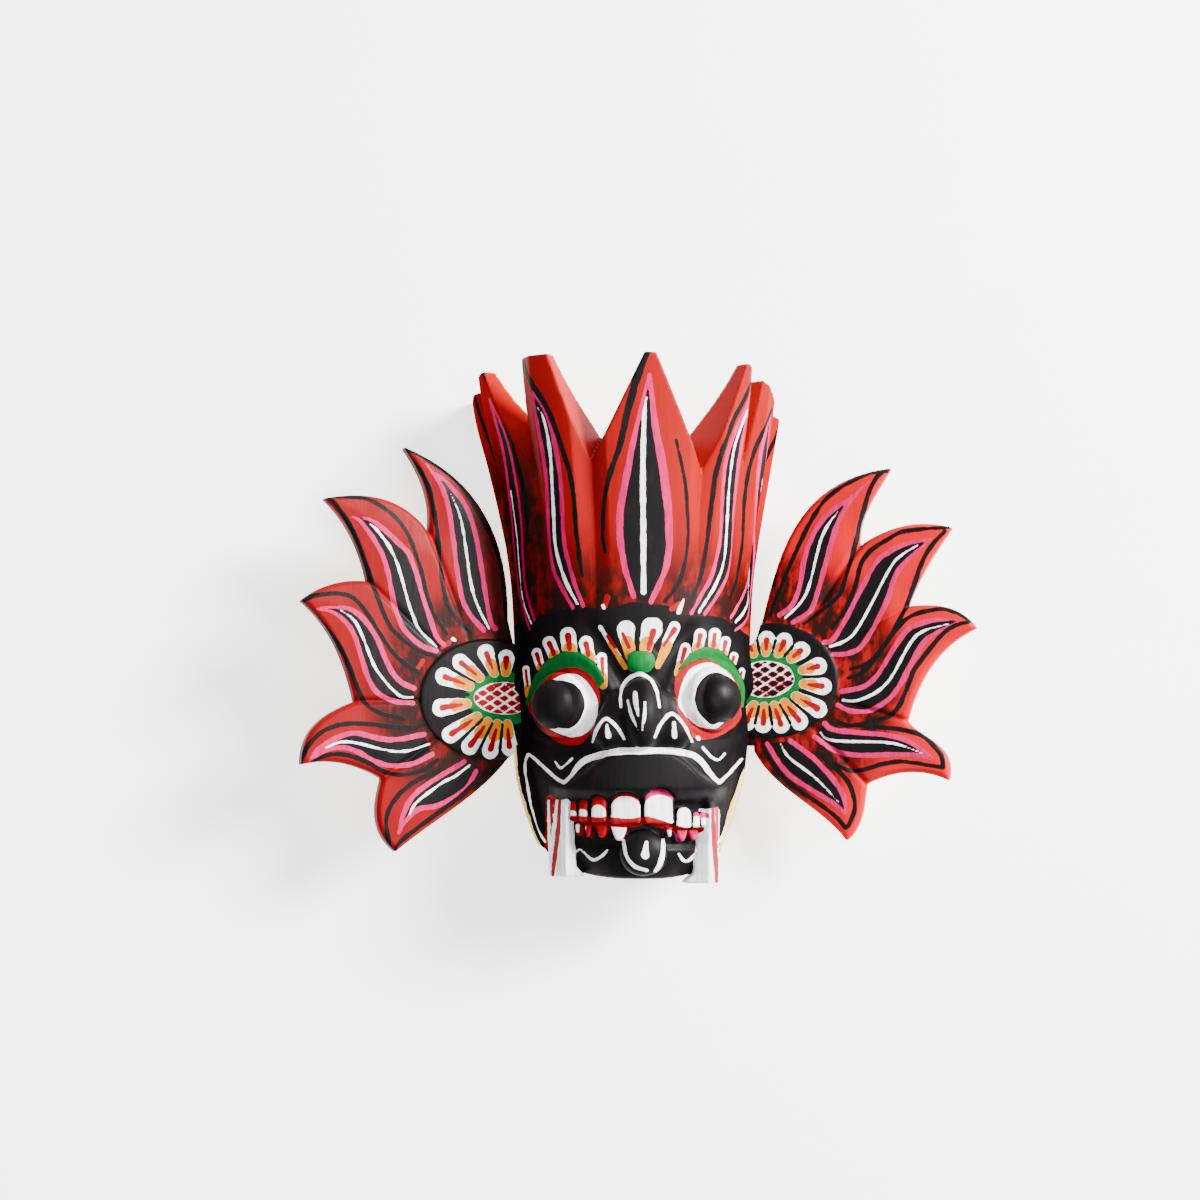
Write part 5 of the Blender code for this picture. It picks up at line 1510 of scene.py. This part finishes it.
class RAKSHA_OT_wings(bpy.types.Operator):
    """Carve and paint both wings"""

    bl_idname = "raksha.wings"
    bl_label = "Wings"

    def execute(self, context):
        step = settings().wing_grain / MM * 1.0
        for node, side, layout, disc, *drawing in (
                ("wing_left", -1.0, LEFT_WING, LEFT_DISC,
                 LEFT_FLAMES, LEFT_PETALS, LEFT_RING, LEFT_PATCHES),
                ("wing_right", 1.0, RIGHT_WING, RIGHT_DISC,
                 RIGHT_FLAMES, RIGHT_PETALS, RIGHT_RING, ())):
            wing = Wing(side, layout, disc)
            origin, out, up, front = wing.axes
            low = (wing.low[0], wing.low[1], -WING_THICKNESS / 2.0 - 1.5)
            high = (wing.high[0], wing.high[1], WING_THICKNESS / 2.0 + DISC_RISE + 1.5)
            points, faces = wrap_mesh(wing.field, low, high, step)
            points = settle(points, wing.field, step)
            marks = paint_wing(wing, *points.T, *drawing)
            if side < 0.0:
                faces = faces[:, ::-1]
            placed = origin + points[:, :1] * out + points[:, 1:2] * up + points[:, 2:] * front
            # each wing's red, made darker or lighter as painted shade or painted light
            red = colour("left_wing_shaded_red" if side < 0.0 else "right_wing_lit_red")
            add_piece("painted_" + node + "_board", placed, faces, marks,
                      painted_wood(node + "_paint", red), node)
        return {"FINISHED"}


class RAKSHA_OT_stage(bpy.types.Operator):
    """Set the table, the lights and the camera"""

    bl_idname = "raksha.stage"
    bl_label = "Stage"

    def execute(self, context):
        table = bpy.data.meshes.new("table")
        size = TABLE_HALF_WIDTH
        corners = [(-size, -size, 0), (size, -size, 0), (size, size, 0), (-size, size, 0)]
        table.from_pydata(corners, [], [(0, 1, 2, 3)])
        table.materials.append(table_paper())
        floor = bpy.data.objects.new("table", table)
        context.scene.collection.objects.link(floor)
        target = (Vector(VIEW_AIM) + Vector(ROW_SHIFT)) * MM
        yaw, pitch = math.radians(VIEW_YAW), math.radians(VIEW_PITCH)
        back = Vector((-math.sin(yaw) * math.cos(pitch), -math.sin(pitch),
                       math.cos(yaw) * math.cos(pitch)))
        upward = Vector((0.0, 1.0, 0.0))
        upward = (upward - back * upward.dot(back)).normalized()
        right = upward.cross(back)
        data = bpy.data.cameras.new("camera")
        data.sensor_width = SENSOR
        data.lens = LENS
        camera = bpy.data.objects.new("camera", data)
        turn = Matrix((right, upward, back)).transposed().to_4x4()
        camera.matrix_world = Matrix.Translation(target + back * VIEW_DISTANCE * MM) @ turn
        context.scene.collection.objects.link(camera)
        context.scene.camera = camera
        for name, place, power, width in LAMPS:
            lamp = bpy.data.lights.new(name, "AREA")
            lamp.energy = power
            lamp.size = width
            holder = bpy.data.objects.new(name, lamp)
            holder.location = place
            holder.rotation_euler = (-Vector(place)).to_track_quat("-Z", "Y").to_euler()
            context.scene.collection.objects.link(holder)
        world = bpy.data.worlds.new("room")
        world.use_nodes = True
        background = world.node_tree.nodes["Background"]
        background.inputs["Color"].default_value = ROOM_LIGHT
        background.inputs["Strength"].default_value = ROOM_STRENGTH
        context.scene.world = world
        return {"FINISHED"}


class RAKSHA_PT_panel(bpy.types.Panel):
    """Lists the mask's settings and pieces"""

    bl_idname = "RAKSHA_PT_panel"
    bl_label = "Raksha Mask"
    bl_space_type = "VIEW_3D"
    bl_region_type = "UI"
    bl_category = "Mask"

    def draw(self, context):
        for name in RakshaMaskSettings.__annotations__:
            self.layout.prop(settings(), name)
        for kind in OPERATORS:
            self.layout.operator(kind.bl_idname)


OPERATORS = (RAKSHA_OT_head, RAKSHA_OT_wings, RAKSHA_OT_stage)
CLASSES = (RakshaMaskSettings,) + OPERATORS + (RAKSHA_PT_panel,)


def register():
    """Make the settings, the operators and the panel known."""
    for kind in CLASSES:
        bpy.utils.register_class(kind)
    bpy.types.Scene.raksha_mask = PointerProperty(type=RakshaMaskSettings)


def unregister():
    """Take them away again."""
    del bpy.types.Scene.raksha_mask
    for kind in reversed(CLASSES):
        bpy.utils.unregister_class(kind)


def main():
    """Carve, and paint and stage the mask."""
    register()
    bpy.ops.raksha.head()
    bpy.ops.raksha.wings()
    bpy.ops.raksha.stage()


if __name__ == "__main__":
    main()
